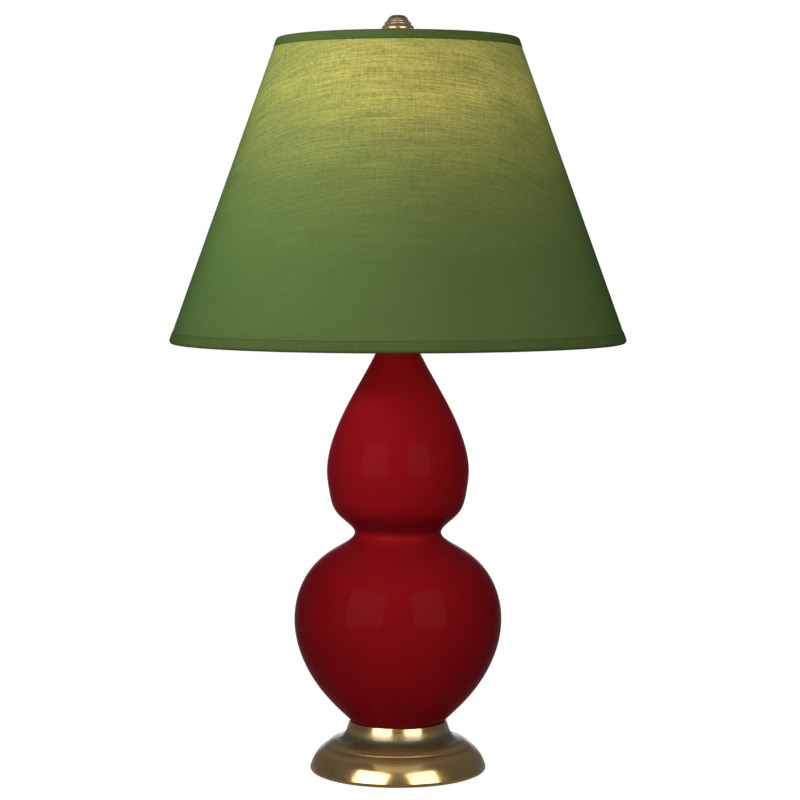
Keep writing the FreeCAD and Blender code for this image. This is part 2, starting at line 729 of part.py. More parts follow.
def make_harp():
    """A bent wire hoop with half-lapped leg ends and a flattened, drilled top."""
    body = new_body("harp_frame")
    leg_z = lap_low_z + S.slip_gap
    bend_z = leg_z + S.leg_height
    shift = S.harp_half - S.saddle_half
    half_bend = (S.harp_bend * shift - shift * shift / 4).root()
    bow_z = bend_z + 2 * half_bend
    top_z = shade_seat_z - S.seat_height - S.slip_gap - S.wire_radius
    spring_z = top_z - S.harp_half
    middle = S.saddle_half + shift / 2
    right = [
        (S.saddle_half, leg_z),
        (S.saddle_half, bend_z, -S.harp_bend),
        (middle, bend_z + half_bend, S.harp_bend),
        (S.harp_half, bow_z),
        (S.harp_half, spring_z, S.harp_half),
        (ZERO, top_z, S.harp_half),
    ]
    left = [
        (-S.harp_half, spring_z),
        (-S.harp_half, bow_z, S.harp_bend),
        (-middle, bend_z + half_bend, -S.harp_bend),
        (-S.saddle_half, bend_z),
        (-S.saddle_half, leg_z),
    ]
    path = new_sketch(body, "harp_path", "XZ_Plane")
    draw_chain(path, right + left, closed=False)
    wire = new_sketch(body, "harp_wire", "XY_Plane", (ZERO, ZERO, leg_z))
    draw_circle(wire, (S.saddle_half, ZERO), S.wire_radius)
    bow = body.newObject("PartDesign::AdditivePipe", "harp_bow")
    bow.Profile = wire
    bow.Spine = path
    pad_half = S.pad_length / 2
    flat = new_sketch(body, "harp_pad", "XY_Plane", (ZERO, ZERO, top_z - S.wire_radius))
    draw_chain(flat, box_corners((-pad_half, -S.pad_width / 2), (pad_half, S.pad_width / 2)))
    pad(body, flat, 2 * S.wire_radius)
    hole = new_sketch(body, "stud_hole", "XY_Plane", (ZERO, ZERO, top_z - 2 * S.wire_radius))
    draw_circle(hole, (ZERO, ZERO), S.shank_radius + S.slip_gap)
    pocket(body, hole, 4 * S.wire_radius, reverse=True)
    cut_lap(body, "leg_lap", leg_z - S.slip_gap, lap_top_z + S.slip_gap, back=False)
    keep(body)
    bore = S.wire_radius + S.slip_gap
    sleeve = ring_corners(bore, bore + S.sleeve_wall, ear_z, ear_z + S.sleeve_height)
    keep(turned("sleeve_right", sleeve, across=S.saddle_half))
    keep(turned("sleeve_left", sleeve, across=-S.saddle_half))


def make_stud():
    """The swivelling stud: riveted under the harp's top, with a seat for the shade and a thread above it."""
    pad_low_z = shade_seat_z - S.seat_height - S.slip_gap - 2 * S.wire_radius
    rivet_top_z = pad_low_z - S.loose_gap
    seat_low_z = shade_seat_z - S.seat_height
    stud_top_z = shade_seat_z + S.stud_height
    chamfer = S.stud_pitch / 2
    body = turned(
        "harp_stud",
        [
            (ZERO, rivet_top_z - S.rivet_height),
            (S.shank_radius, rivet_top_z - S.rivet_height),
            (S.rivet_radius, rivet_top_z - S.rivet_height / 2),
            (S.rivet_radius, rivet_top_z),
            (S.shank_radius, rivet_top_z),
            (S.shank_radius, seat_low_z),
            (S.seat_radius, seat_low_z),
            (S.seat_radius, shade_seat_z),
            (S.stud_radius, shade_seat_z),
            (S.stud_radius, stud_top_z - chamfer),
            (S.stud_radius - chamfer, stud_top_z),
            (ZERO, stud_top_z),
        ],
    )
    groove_z = shade_seat_z + S.stud_pitch
    depth = S.stud_pitch * 0.5
    cut = new_sketch(body, "thread_groove", "XZ_Plane")
    draw_chain(
        cut,
        [
            (S.stud_radius - depth, groove_z),
            (S.stud_radius + S.slip_gap, groove_z - S.stud_pitch / 2),
            (S.stud_radius + S.slip_gap, groove_z + S.stud_pitch / 2),
        ],
    )
    doc.recompute()
    groove = revolve(body, cut, feature="PartDesign::Groove")
    doc.recompute()
    threads = body.newObject("PartDesign::LinearPattern", "stud_threads")
    threads.Originals = [groove]
    threads.Direction = (cut, ["V_Axis"])
    threads.setExpression("Length", (S.stud_height - 3 * S.stud_pitch).text)
    threads.setExpression("Occurrences", f"floor({((S.stud_height - 2 * S.stud_pitch) / S.stud_pitch).text})")
    body.Tip = threads
    return keep(body)


# ---------------------------------------------------------------- lampholder


def make_holder_cap():
    """The spun cap that screws on the pipe, its set screw, and the thin nut that holds the saddle down."""
    keep(hex_nut("saddle_nut", S.nut_flats, pipe_hole, thin_nut_z, S.thin_nut))
    wall = S.holder_wall
    rim_inner = S.holder_radius + S.slip_gap
    boss_top = holder_z + S.holder_boss_height
    cup_z = boss_top + S.holder_boss_height
    cup_curve = S.holder_cap_height / 2
    body = turned(
        "socket_cap",
        [
            (pipe_hole, holder_z),
            (S.holder_boss, holder_z),
            (S.holder_boss, boss_top, cup_curve),
            (rim_inner + wall, cup_z + wall),
            (rim_inner + wall, holder_rim_z),
            (rim_inner, holder_rim_z),
            (rim_inner, cup_z + wall, -(cup_curve - wall)),
            (S.holder_boss, boss_top + wall),
            (pipe_hole, boss_top + wall),
        ],
    )
    screw_z = holder_z + S.holder_boss_height / 2
    hole = new_sketch(body, "set_screw_hole", "XZ_Plane")
    draw_circle(hole, (ZERO, screw_z), S.screw_shank)
    pocket(body, hole)
    keep(body)
    screw_radius = S.screw_shank - S.glue_line
    tip = S.pipe_radius + S.slip_gap
    keep(
        turned(
            "set_screw",
            box_corners((ZERO, tip), (screw_radius, S.holder_boss + S.washer_thickness)),
            "Y",
            height=screw_z,
        )
    )


def make_holder_shell():
    """The outer brass shell and the card tube that insulates it. Both are pierced in front for the switch."""
    inner = S.holder_radius - S.holder_wall
    body = turned(
        "socket_shell",
        [
            (inner, shell_z),
            (S.holder_radius, shell_z),
            (S.holder_radius, shell_top_z),
            (inner - S.holder_lip, shell_top_z),
            (inner - S.holder_lip, shell_top_z - S.holder_wall),
            (inner, shell_top_z - S.holder_wall),
        ],
    )
    shaft_z = core_z + S.switch_height
    slot = new_sketch(body, "shell_slot", "XZ_Plane")
    draw_circle(slot, (ZERO, shaft_z), S.slot_radius)
    pocket(body, slot, reverse=True)
    keep(body)
    card_outer = inner - S.slip_gap
    card_top = shell_top_z - S.holder_wall - S.slip_gap
    card = turned("socket_liner", ring_corners(card_outer - S.card_wall, card_outer, shell_z, card_top))
    card_slot = new_sketch(card, "card_slot", "XZ_Plane")
    draw_circle(card_slot, (ZERO, shaft_z), S.slot_radius)
    pocket(card, card_slot, reverse=True)
    keep(card)


def make_holder_core():
    """The phenolic core with two terminal flats, and the switch's bore in front."""
    radius = S.holder_radius - S.holder_wall - S.card_wall - 2 * S.slip_gap
    body = turned("socket_core", box_corners((ZERO, core_z), (radius, core_top_z)))
    flat_top = core_z + S.core_flat_height
    for side, near, far in (("right", S.core_flat, radius), ("left", -radius, -S.core_flat)):
        flat = new_sketch(body, f"core_flat_{side}", "XZ_Plane")
        draw_chain(flat, box_corners((near, core_z), (far, flat_top)))
        pocket(body, flat, 2 * radius, both_ways=True)
    screw_z = core_z + S.core_flat_height / 2
    for side, direction in (("right", False), ("left", True)):
        hole = new_sketch(body, f"screw_hole_{side}", "YZ_Plane")
        draw_circle(hole, (ZERO, screw_z), S.screw_shank + S.glue_line)
        pocket(body, hole, reverse=not direction)
    shaft_z = core_z + S.switch_height
    bore = new_sketch(body, "shaft_bore", "XZ_Plane", (ZERO, ZERO, radius - S.shaft_depth))
    draw_circle(bore, (ZERO, shaft_z), S.shaft_radius + S.slip_gap)
    pocket(body, bore, S.shaft_depth, reverse=True)
    keep(body)


def make_terminals():
    """Two terminal screws, one solid on each side of the core."""
    screw_z = core_z + S.core_flat_height / 2
    root = S.core_flat - S.screw_length
    crown = S.core_flat + S.screw_head_height
    sides = []
    for side, sign in (("right", 1), ("left", -1)):
        corners = [
            (ZERO, root * sign),
            (S.screw_shank, root * sign),
            (S.screw_shank, S.core_flat * sign),
            (S.screw_head, S.core_flat * sign),
            (S.screw_head, crown * sign),
            (ZERO, crown * sign),
        ]
        sides.append(turned(f"terminal_{side}", corners, "X", height=screw_z))
    pair = doc.addObject("Part::Compound", "terminal_screws")
    pair.Links = sides
    pair.Label = "terminal_screws"
    return keep(pair)


def make_thread_shell():
    """The threaded shell that grips the bulb, drawn as rings at the thread's pitch."""
    wall = S.thread_shell_wall
    crest = S.bulb_cap_radius + 2 * S.slip_gap
    root = crest + S.bulb_thread_depth
    top = core_top_z + S.thread_shell_height
    pitch = S.bulb_thread_pitch
    turns = int(S.thread_shell_height.value // S.bulb_thread_pitch.value)
    inside, outside = [], []
    for turn in range(turns):
        start = core_top_z + wall + pitch * turn
        for skin, depth in ((inside, ZERO), (outside, wall)):
            skin += [(crest + depth, start)]
            skin += [(root + depth, start + pitch * share) for share in THREAD_CREST]
    inside.append((crest, top))
    outside.append((crest + wall, top))
    outside[0] = (crest + wall, core_top_z)
    floor = [(S.disc_radius, core_top_z), (S.disc_radius, core_top_z + wall)]
    return keep(turned("thread_shell", floor + inside + outside[::-1]))


def make_centre_contact():
    """A sprung brass tongue, bent up from the core's top face to meet the bulb's tip."""
    body = new_body("centre_contact")
    sheet_t = S.tongue_sheet
    root_y = S.disc_radius - 3 * S.loose_gap
    crown_y = S.tip_radius / 2
    low = core_top_z
    high = core_top_z + S.tongue_rise
    sketch = new_sketch(body, "tongue_outline", "YZ_Plane")
    draw_chain(
        sketch,
        [
            (-root_y, low),
            (-S.tip_radius, low),
            (-crown_y, high - sheet_t),
            (crown_y, high - sheet_t),
            (S.tip_radius, low + sheet_t),
            (S.tip_radius + sheet_t, low + 2 * sheet_t),
            (crown_y + sheet_t / 2, high),
            (-crown_y - sheet_t / 2, high),
            (-S.tip_radius - sheet_t / 2, low + sheet_t),
            (-root_y, low + sheet_t),
        ],
    )
    pad(body, sketch, S.tongue_width, both_ways=True)
    return keep(body)


# ---------------------------------------------------------------- switch


def make_switch():
    """The steel shaft and the turning key on its end, in front of the holder."""
    shaft_z = core_z + S.switch_height
    core_face = S.holder_radius - S.holder_wall - S.card_wall - 2 * S.slip_gap
    shaft_root = -(core_face - S.shaft_depth + S.slip_gap)
    boss_root = -(S.holder_radius + S.key_gap)
    paddle_root = boss_root - S.key_boss_length
    paddle_end = paddle_root - S.key_length
    socket_end = paddle_root - S.key_length / 3
    keep(
        turned(
            "switch_shaft",
            box_corners((ZERO, shaft_root), (S.shaft_radius, socket_end + S.glue_line)),
            "Y",
            height=shaft_z,
        )
    )
    body = turned(
        "switch_key",
        box_corners((ZERO, boss_root), (S.key_boss, paddle_root - S.key_thickness / 2)),
        "Y",
        height=shaft_z,
    )
    paddle = new_sketch(body, "key_paddle", "XY_Plane", (ZERO, ZERO, shaft_z))
    half = S.key_width / 2
    tip = half * 0.8
    draw_chain(
        paddle,
        [
            (-half, paddle_root),
            (-tip, paddle_end, S.key_width),
            (tip, paddle_end),
            (half, paddle_root, S.key_width),
        ],
    )
    pad(body, paddle, S.key_thickness, both_ways=True)
    bore = new_sketch(body, "key_bore", "XZ_Plane", (ZERO, ZERO, -socket_end))
    draw_circle(bore, (ZERO, shaft_z), S.shaft_radius + S.glue_line)
    pocket(body, bore, boss_root - socket_end)
    return keep(body)


# ---------------------------------------------------------------- bulb


def make_bulb():
    """A globe bulb: envelope, threaded cap, black disc, solder tip, inner stem and filament."""
    centre_z = bulb_z + S.bulb_length - S.bulb_radius
    wall = S.bulb_glass
    inner_radius = S.bulb_radius - wall
    inner_shoulder = S.bulb_shoulder_radius - wall
    outer_drop = (S.bulb_radius * S.bulb_radius - S.bulb_shoulder_radius * S.bulb_shoulder_radius).root()
    inner_drop = (inner_radius * inner_radius - inner_shoulder * inner_shoulder).root()
    neck_z = bulb_z + S.bulb_neck_height
    rim_z = bulb_z + S.bulb_cap_height + S.loose_gap
    root_z = bulb_z + S.bulb_cap_height - S.bulb_thread_pitch
    keep(
        turned(
            "bulb_glass",
            [
                (S.bulb_root_radius, root_z),
                (S.bulb_root_radius, rim_z),
                (S.bulb_neck_radius, neck_z, -S.bulb_flare),
                (S.bulb_shoulder_radius, centre_z - outer_drop, S.bulb_radius),
                (ZERO, centre_z + S.bulb_radius),
                (ZERO, centre_z + inner_radius, -inner_radius),
                (inner_shoulder, centre_z - inner_drop, S.bulb_flare + wall),
                (S.bulb_neck_radius - wall, neck_z),
                (S.bulb_root_radius - wall, rim_z),
                (S.bulb_root_radius - wall, root_z),
            ],
        )
    )
    make_bulb_cap()
    make_bulb_inside(root_z)


def make_bulb_cap():
    """The solder tip, the black disc, and the metal cap with its thread drawn as rings."""
    tip_z = bulb_z + S.tip_height
    disc_z = tip_z + S.disc_height
    tip = [(ZERO, bulb_z), (S.tip_radius / 2, bulb_z), (S.tip_radius, tip_z), (ZERO, tip_z)]
    keep(turned("bulb_tip", tip))
    disc = [(ZERO, tip_z), (S.tip_radius, tip_z), (S.disc_radius, disc_z), (ZERO, disc_z)]
    keep(turned("bulb_disc", disc))
    wall, pitch = S.bulb_cap_wall, S.bulb_thread_pitch
    crest = S.bulb_cap_radius
    root = crest - S.bulb_thread_depth
    rim_z = bulb_z + S.bulb_cap_height
    start_z = disc_z + pitch / 2
    turns = int((S.bulb_cap_height - S.tip_height - S.disc_height - pitch).value // pitch.value)
    outside, inside = [], []
    for turn in range(turns):
        low = start_z + pitch * turn
        for skin, depth in ((outside, ZERO), (inside, wall)):
            skin += [(root - depth, low)]
            skin += [(crest - depth, low + pitch * share) for share in THREAD_CREST]
    collar = S.bulb_root_radius + S.slip_gap
    thread_top = start_z + pitch * turns
    outside += [(collar + wall, thread_top), (collar + wall, rim_z)]
    inside += [(root - wall, thread_top - wall), (collar, thread_top), (collar, rim_z)]
    floor = [(ZERO, disc_z), (S.disc_radius, disc_z)]
    ceiling = [(S.disc_radius, disc_z + wall), (ZERO, disc_z + wall)]
    keep(turned("bulb_cap", floor + outside + inside[::-1] + ceiling))


def make_bulb_inside(root_z):
    """The flared glass stem, and the filament on its two supports, as one glowing part."""
    flare_radius = S.bulb_root_radius - S.bulb_glass - S.slip_gap
    flare_top = root_z + S.stem_flare
    stem_top = root_z + S.stem_height
    keep(
        turned(
            "bulb_stem",
            [
                (ZERO, root_z),
                (flare_radius, root_z),
                (flare_radius, flare_top),
                (S.stem_radius, flare_top + S.stem_radius),
                (S.stem_radius, stem_top),
                (ZERO, stem_top),
            ],
        )
    )
    body = new_body("bulb_filament")
    coil_z = stem_top + S.filament_rise
    foot_x = S.stem_radius - 2 * S.lead_radius
    path = new_sketch(body, "lead_path", "XZ_Plane")
    bend_z = stem_top + S.coil_radius
    right = [(foot_x, stem_top), (foot_x, bend_z), (S.filament_half, coil_z)]
    left = [(-S.filament_half, coil_z), (-foot_x, bend_z), (-foot_x, stem_top)]
    draw_chain(path, right + left, closed=False)
    section = new_sketch(body, "lead_section", "XY_Plane", (ZERO, ZERO, stem_top))
    draw_circle(section, (foot_x, ZERO), S.lead_radius)
    leads = body.newObject("PartDesign::AdditivePipe", "filament_leads")
    leads.Profile = section
    leads.Spine = path
    leads.Transition = "Right corner"
    coil = new_sketch(body, "coil_section", "XZ_Plane", (ZERO, coil_z, ZERO))
    coil_end = S.filament_half - S.coil_radius
    draw_chain(coil, box_corners((-coil_end, ZERO), (coil_end, S.coil_radius)))
    revolve(body, coil, "H_Axis")
    keep(body)


# ---------------------------------------------------------------- shade

slope = (S.shade_bottom_radius - S.shade_top_radius) / S.shade_height
lean = (1 + slope * slope).root()
slant = S.shade_height * lean


def on_slope(along, inward):
    """A point given by its distance down the slope from the top edge, and inward from the outer surface."""
    radius = S.shade_top_radius + (along * slope - inward) / lean
    height = shade_top_z - (along + inward * slope) / lean
    return radius, height


def skin_outline(outer, thickness, margin):
    """The outline of a conical skin, outer being its depth below the tape's surface."""
    inner = outer + thickness
    return [
        on_slope(margin, outer),
        on_slope(slant - margin, outer),
        on_slope(slant - margin, inner),
        on_slope(margin, inner),
    ]


fabric_depth = S.tape_thickness + S.glue_line
liner_depth = fabric_depth + S.fabric_thickness + S.glue_line
ring_depth = liner_depth + S.liner_thickness + S.glue_line + S.ring_radius
rim_half = (ring_depth + S.ring_radius + S.fold_gap + S.tape_thickness) / 2
liner_margin = rim_half - S.ring_radius


def tape_outline(at_top):
    """A tape folded over one edge of the shade, outside first, round the edge, and up inside."""
    width = 2 * rim_half
    thin = S.tape_thickness

    def spot(along, inward):
        return on_slope(along if at_top else slant - along, inward)

    fold = rim_half if at_top else -rim_half
    inner_fold = thin - rim_half if at_top else rim_half - thin
    return [
        spot(S.tape_outside, ZERO),
        spot(rim_half, ZERO) + (fold,),
        spot(ZERO, rim_half) + (fold,),
        spot(rim_half, width),
        spot(S.tape_inside, width),
        spot(S.tape_inside, width - thin),
        spot(rim_half, width - thin) + (inner_fold,),
        spot(thin, rim_half) + (inner_fold,),
        spot(rim_half, thin),
        spot(S.tape_outside, thin),
    ]


def make_shade():
    """Cloth cover on a stiff liner, wire rings at both edges, and a tape folded over each edge."""
    keep(turned("shade_fabric", skin_outline(fabric_depth, S.fabric_thickness, rim_half)))
    keep(turned("shade_liner", skin_outline(liner_depth, S.liner_thickness, liner_margin)))
    top_tape = turned("shade_top_tape", tape_outline(True))
    add_arms(top_tape, "arm_notches", S.arm_radius + S.slip_gap, "PartDesign::Groove")
    keep(top_tape)
    keep(turned("shade_bottom_tape", tape_outline(False)))
    body = new_body("shade_bottom_ring")
    section = new_sketch(body, "bottom_ring_section", "XZ_Plane")
    draw_circle(section, on_slope(slant - rim_half, ring_depth), S.ring_radius)
    revolve(body, section)
    keep(body)


def add_arms(body, name, radius, feature="PartDesign::Revolution"):
    """Three rods from the washer out to the top ring, added to a body or cut from it."""
    ring_point = on_slope(rim_half, ring_depth)
    root = (S.hub_radius - S.arm_radius, shade_seat_z + S.hub_thickness / 2 + S.glue_line)
    end = (ring_point[0] - S.glue_line, ring_point[1])
    run, rise = end[0] - root[0], end[1] - root[1]
    length = (run * run + rise * rise).root()
    aside = (-rise * radius / length, run * radius / length)
    sketch = new_sketch(body, name + "_section", "YZ_Plane")
    draw_chain(
        sketch,
        [root, end, (end[0] + aside[0], end[1] + aside[1]), (root[0] + aside[0], root[1] + aside[1])],
    )
    ends = [Vector(point[0].value, point[1].value, 0) for point in (root, end)]
    axis = sketch.addGeometry(Part.LineSegment(*ends), True)
    sketch.addConstraint(Sketcher.Constraint("Coincident", axis, 1, 0, 1))
    sketch.addConstraint(Sketcher.Constraint("Coincident", axis, 2, 0, 2))
    doc.recompute()
    rod = revolve(body, sketch, "Axis0", feature)
    doc.recompute()
    pattern = body.newObject("PartDesign::PolarPattern", name)
    pattern.Originals = [rod]
    z_axis = next(f for f in body.Origin.OriginFeatures if f.Role == "Z_Axis")
    pattern.Axis = (z_axis, [""])
    pattern.Angle = 360
    pattern.Occurrences = 3
    body.Tip = pattern


def make_spider():
    """The shade's fitter: a wire ring, three welded arms and a washer, all one weldment."""
    body = new_body("shade_spider")
    section = new_sketch(body, "top_ring_section", "YZ_Plane")
    draw_circle(section, on_slope(rim_half, ring_depth), S.ring_radius)
    revolve(body, section)
    hub = new_sketch(body, "hub_section", "YZ_Plane")
    draw_chain(hub, ring_corners(S.hub_bore, S.hub_radius, shade_seat_z, finial_z))
    revolve(body, hub)
    add_arms(body, "spider_arms", S.arm_radius)
    return keep(body)


# ---------------------------------------------------------------- finial


def make_finial():
    """A turned brass knob: a waisted stem under three stepped, rounded tiers."""
    base = finial_z
    top = base + S.finial_height
    step = S.finial_tier_step
    wide = S.finial_tier_radius
    under = base + S.finial_under
    tier = S.finial_tier_height / 2
    bore = S.stud_radius + S.slip_gap
    notch = step / 4
    second = wide - step
    third = second - step + notch
    return keep(
        turned(
            "finial",
            [
                (bore, base),
                (S.finial_foot, base),
                (S.finial_foot, base + S.finial_foot_height),
                (S.finial_stem, base + 2 * S.finial_foot_height),
                (S.finial_stem, base + S.finial_stem_height, -S.finial_stem_height),
                (wide - notch, under),
                (wide, under + notch),
                (wide, under + tier / 2, tier),
                (second + notch, under + tier),
                (second - notch, under + tier),
                (second, under + tier * 1.3, tier),
                (third + notch, under + tier * 1.85),
                (third - notch, under + tier * 1.85),
                (third - notch, under + 2 * tier, wide * 0.55),
                (S.finial_flat, top),
                (ZERO, top),
                (ZERO, base + S.finial_bore_depth + S.stud_pitch),
                (bore, base + S.finial_bore_depth),
            ],
        )
    )


# ---------------------------------------------------------------- build, check and write


def check(piece):
    """Stops the script if a piece failed to build."""
    if any(word in piece.State for word in ("Invalid", "Error")):
        raise ValueError(f"{piece.Label} failed to build: {piece.State}")


def write_pieces():
    os.makedirs("parts", exist_ok=True)
    for thing in doc.Objects:
        check(thing)
    for piece in pieces:
        shape = piece.Shape
        if shape.isNull() or not shape.isValid() or not shape.Solids:
            raise ValueError(f"{piece.Label} has no valid solid")
    for piece in pieces:
        piece.Shape.exportStep(os.path.join("parts", piece.Label + ".step"))


make_base_shell()
make_cord_bushing()
make_weight()
make_clamp()
make_gourd()
make_gourd_fittings()
make_saddle()
make_harp()
make_stud()
make_holder_cap()
make_holder_shell()
make_holder_core()
make_terminals()
make_thread_shell()
make_centre_contact()
make_switch()
make_bulb()
make_shade()
make_spider()
make_finial()
doc.recompute()
write_pieces()
print(f"{len(pieces)} pieces, {(finial_z + S.finial_height).value:.1f} mm high")
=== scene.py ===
import math

import bpy
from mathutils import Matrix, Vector


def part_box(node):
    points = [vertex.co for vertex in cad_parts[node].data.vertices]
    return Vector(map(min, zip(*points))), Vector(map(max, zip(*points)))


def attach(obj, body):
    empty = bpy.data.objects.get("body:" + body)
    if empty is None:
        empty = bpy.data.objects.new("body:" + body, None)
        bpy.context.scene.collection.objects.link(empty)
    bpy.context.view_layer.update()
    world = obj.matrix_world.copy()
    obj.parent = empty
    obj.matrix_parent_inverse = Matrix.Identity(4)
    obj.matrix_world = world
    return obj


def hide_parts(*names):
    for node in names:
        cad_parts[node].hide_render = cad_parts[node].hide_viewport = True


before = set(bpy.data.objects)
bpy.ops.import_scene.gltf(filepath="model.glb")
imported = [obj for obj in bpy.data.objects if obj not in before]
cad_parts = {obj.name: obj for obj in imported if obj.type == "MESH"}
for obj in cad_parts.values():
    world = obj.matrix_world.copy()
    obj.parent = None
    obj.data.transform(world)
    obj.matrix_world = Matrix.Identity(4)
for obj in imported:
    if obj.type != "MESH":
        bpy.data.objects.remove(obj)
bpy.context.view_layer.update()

# ---------------------------------------------------------------- studio
# A pale floor under a white sweep. Two tall softboxes stand in front, a small gridded lamp at each side
# lights the shade, one softbox lights the back, and one overhead only shows as a sheen. The camera is in
# front, a little below the level of the shade's middle, and looks down slightly.

view = bpy.context.scene.view_settings
view.view_transform = "Standard"

camera_place = (0.0016, -1.911, 0.4153)
camera_tilt = math.radians(86.133)
camera_data = bpy.data.cameras.new("camera")
camera_data.lens = 112.7
camera = bpy.data.objects.new("camera", camera_data)
camera.location = camera_place
camera.rotation_euler = (camera_tilt, 0, 0)
bpy.context.scene.collection.objects.link(camera)
bpy.context.scene.camera = camera

lamp_aim, shade_aim = 0.30, 0.465


def softbox(name, azimuth, elevation, distance, size, power, colour, aim=lamp_aim):
    """A rectangular lamp aimed at a height on the object's axis. Azimuth 0 is straight in front."""
    turn, lift = math.radians(azimuth), math.radians(elevation)
    flat = math.cos(lift)
    toward = Vector((math.sin(turn) * flat, -math.cos(turn) * flat, math.sin(lift)))
    lamp_data = bpy.data.lights.new(name, "AREA")
    lamp_data.shape = "RECTANGLE"
    lamp_data.size, lamp_data.size_y = size
    lamp_data.energy = power
    lamp_data.color = colour
    lamp = bpy.data.objects.new(name, lamp_data)
    lamp.location = Vector((0, 0, aim)) + toward * distance
    lamp.rotation_euler = (-toward).to_track_quat("-Z", "Y").to_euler()
    lamp.visible_camera = False
    bpy.context.scene.collection.objects.link(lamp)
    return lamp


# Each tall softbox has a second face just in front of it, which only mirrors see.
box_lift, box_away, box_height, face_gap = 18, 2.2, 1.95, 0.03
for name, azimuth, width, power, gloss_power, colour in (
    ("left_softbox", -38.5, 1.74, 32, 24, (1.0, 0.99, 0.97)),
    ("right_softbox", 36, 1.48, 22, 22, (1.0, 0.98, 0.95)),
):
    size = (width, box_height)
    softbox(name, azimuth, box_lift, box_away, size, power, colour)
    bright_face = softbox(name + "_face", azimuth, box_lift, box_away - face_gap, size, gloss_power, colour)
    bright_face.visible_diffuse = False
fill_lift, fill_away, fill_size, grid_angle = 12, 1.5, (0.6, 0.3), math.radians(20)
for name, azimuth, power, colour in (
    ("left_fill", -80, 0.94, (0.86, 0.95, 1.0)),
    ("right_fill", 78, 0.18, (1.0, 0.97, 0.85)),
):
    fill = softbox(name, azimuth, fill_lift, fill_away, fill_size, power, colour, aim=shade_aim)
    fill.data.spread = grid_angle
    fill.visible_glossy = False
back_light = softbox(
    "back_light", 180, box_lift, box_away, size=(1.2, 1.6), power=14, colour=(1.0, 0.99, 0.96)
)
back_light.visible_glossy = False
overhead = softbox(
    "overhead", 0, elevation=62, distance=1.8, size=(1.8, 1.2), power=3.5, colour=(1.0, 0.96, 0.92)
)
overhead.visible_diffuse = False

room = bpy.data.worlds.new("room")
room.use_nodes = True
bpy.context.scene.world = room


def add_node(owner, kind, options=None, **inputs):
    """A new node of a finish or the room, its inputs set or linked. Spaces in input names are underscores."""
    tree = owner.node_tree
    node = tree.nodes.new("ShaderNode" + kind)
    for name, value in (options or {}).items():
        setattr(node, name, value)
    for name, value in inputs.items():
        socket = node.inputs[name.replace("_", " ")]
        if isinstance(value, bpy.types.NodeSocket):
            tree.links.new(value, socket)
        else:
            socket.default_value = value
    return node


def combine(owner, operation, first, second):
    """First and second added, multiplied and so on. Each is a socket or a number."""
    node = add_node(owner, "Math", {"operation": operation})
    for socket, value in zip(node.inputs, (first, second)):
        if isinstance(value, bpy.types.NodeSocket):
            owner.node_tree.links.new(value, socket)
        else:
            socket.default_value = value
    return node.outputs[0]


def ease(owner, value, start, end, low, high):
    """Goes smoothly from low, where the value is at its start, to high, where it is at its end."""
    limits = {"From Min": start, "From Max": end, "To Min": low, "To Max": high}
    smooth = {"interpolation_type": "SMOOTHSTEP"}
    return add_node(owner, "MapRange", smooth, Value=value, **limits).outputs["Result"]


def seen_directly(owner):
    """One for camera, mirror and glass rays and zero for soft light. Then one for mirror rays alone."""
    path = add_node(owner, "LightPath").outputs
    seen = combine(owner, "MAXIMUM", path["Is Camera Ray"], path["Is Glossy Ray"])
    return combine(owner, "MAXIMUM", seen, path["Is Transmission Ray"]), path["Is Glossy Ray"]


def in_mirrors(owner, mirrored, backward, side_level, back_level):
    """One, but for mirrors the back level straight behind the object and the side level everywhere else."""
    patch_edge, patch_middle = 0.94, 1.0
    reflected = ease(owner, backward, patch_edge, patch_middle, side_level, back_level)
    return add_node(owner, "Mix", Factor=mirrored, A=1.0, B=reflected).outputs["Result"]


def light_up_room():
    """White where it is seen, dim as a source of light, and in mirrors white only behind the object."""
    ambient, front_level, back_level = 0.14, 0.12, 1.0
    seen, mirrored = seen_directly(room)
    heading = add_node(room, "TexCoord").outputs["Generated"]
    backward = add_node(room, "SeparateXYZ", Vector=heading).outputs["Y"]
    level = in_mirrors(room, mirrored, backward, front_level, back_level)
    strength = add_node(room, "Mix", Factor=seen, A=ambient, B=level).outputs["Result"]
    sky = room.node_tree.nodes["Background"]
    sky.inputs["Color"].default_value = (1, 1, 1, 1)
    room.node_tree.links.new(strength, sky.inputs["Strength"])


light_up_room()


def new_finish(name, colour, roughness, metallic=0.0):
    """A material whose even values are set on the shader itself."""
    finish = bpy.data.materials.new(name)
    finish.use_nodes = True
    shader = finish.node_tree.nodes["Principled BSDF"]
    shader.inputs["Base Color"].default_value = (*colour, 1.0)
    shader.inputs["Roughness"].default_value = roughness
    shader.inputs["Metallic"].default_value = metallic
    return finish, shader


def feed(finish, shader, **sockets):
    """Links outputs to the shader's inputs. Spaces in their names are underscores."""
    for name, output in sockets.items():
        finish.node_tree.links.new(output, shader.inputs[name.replace("_", " ")])


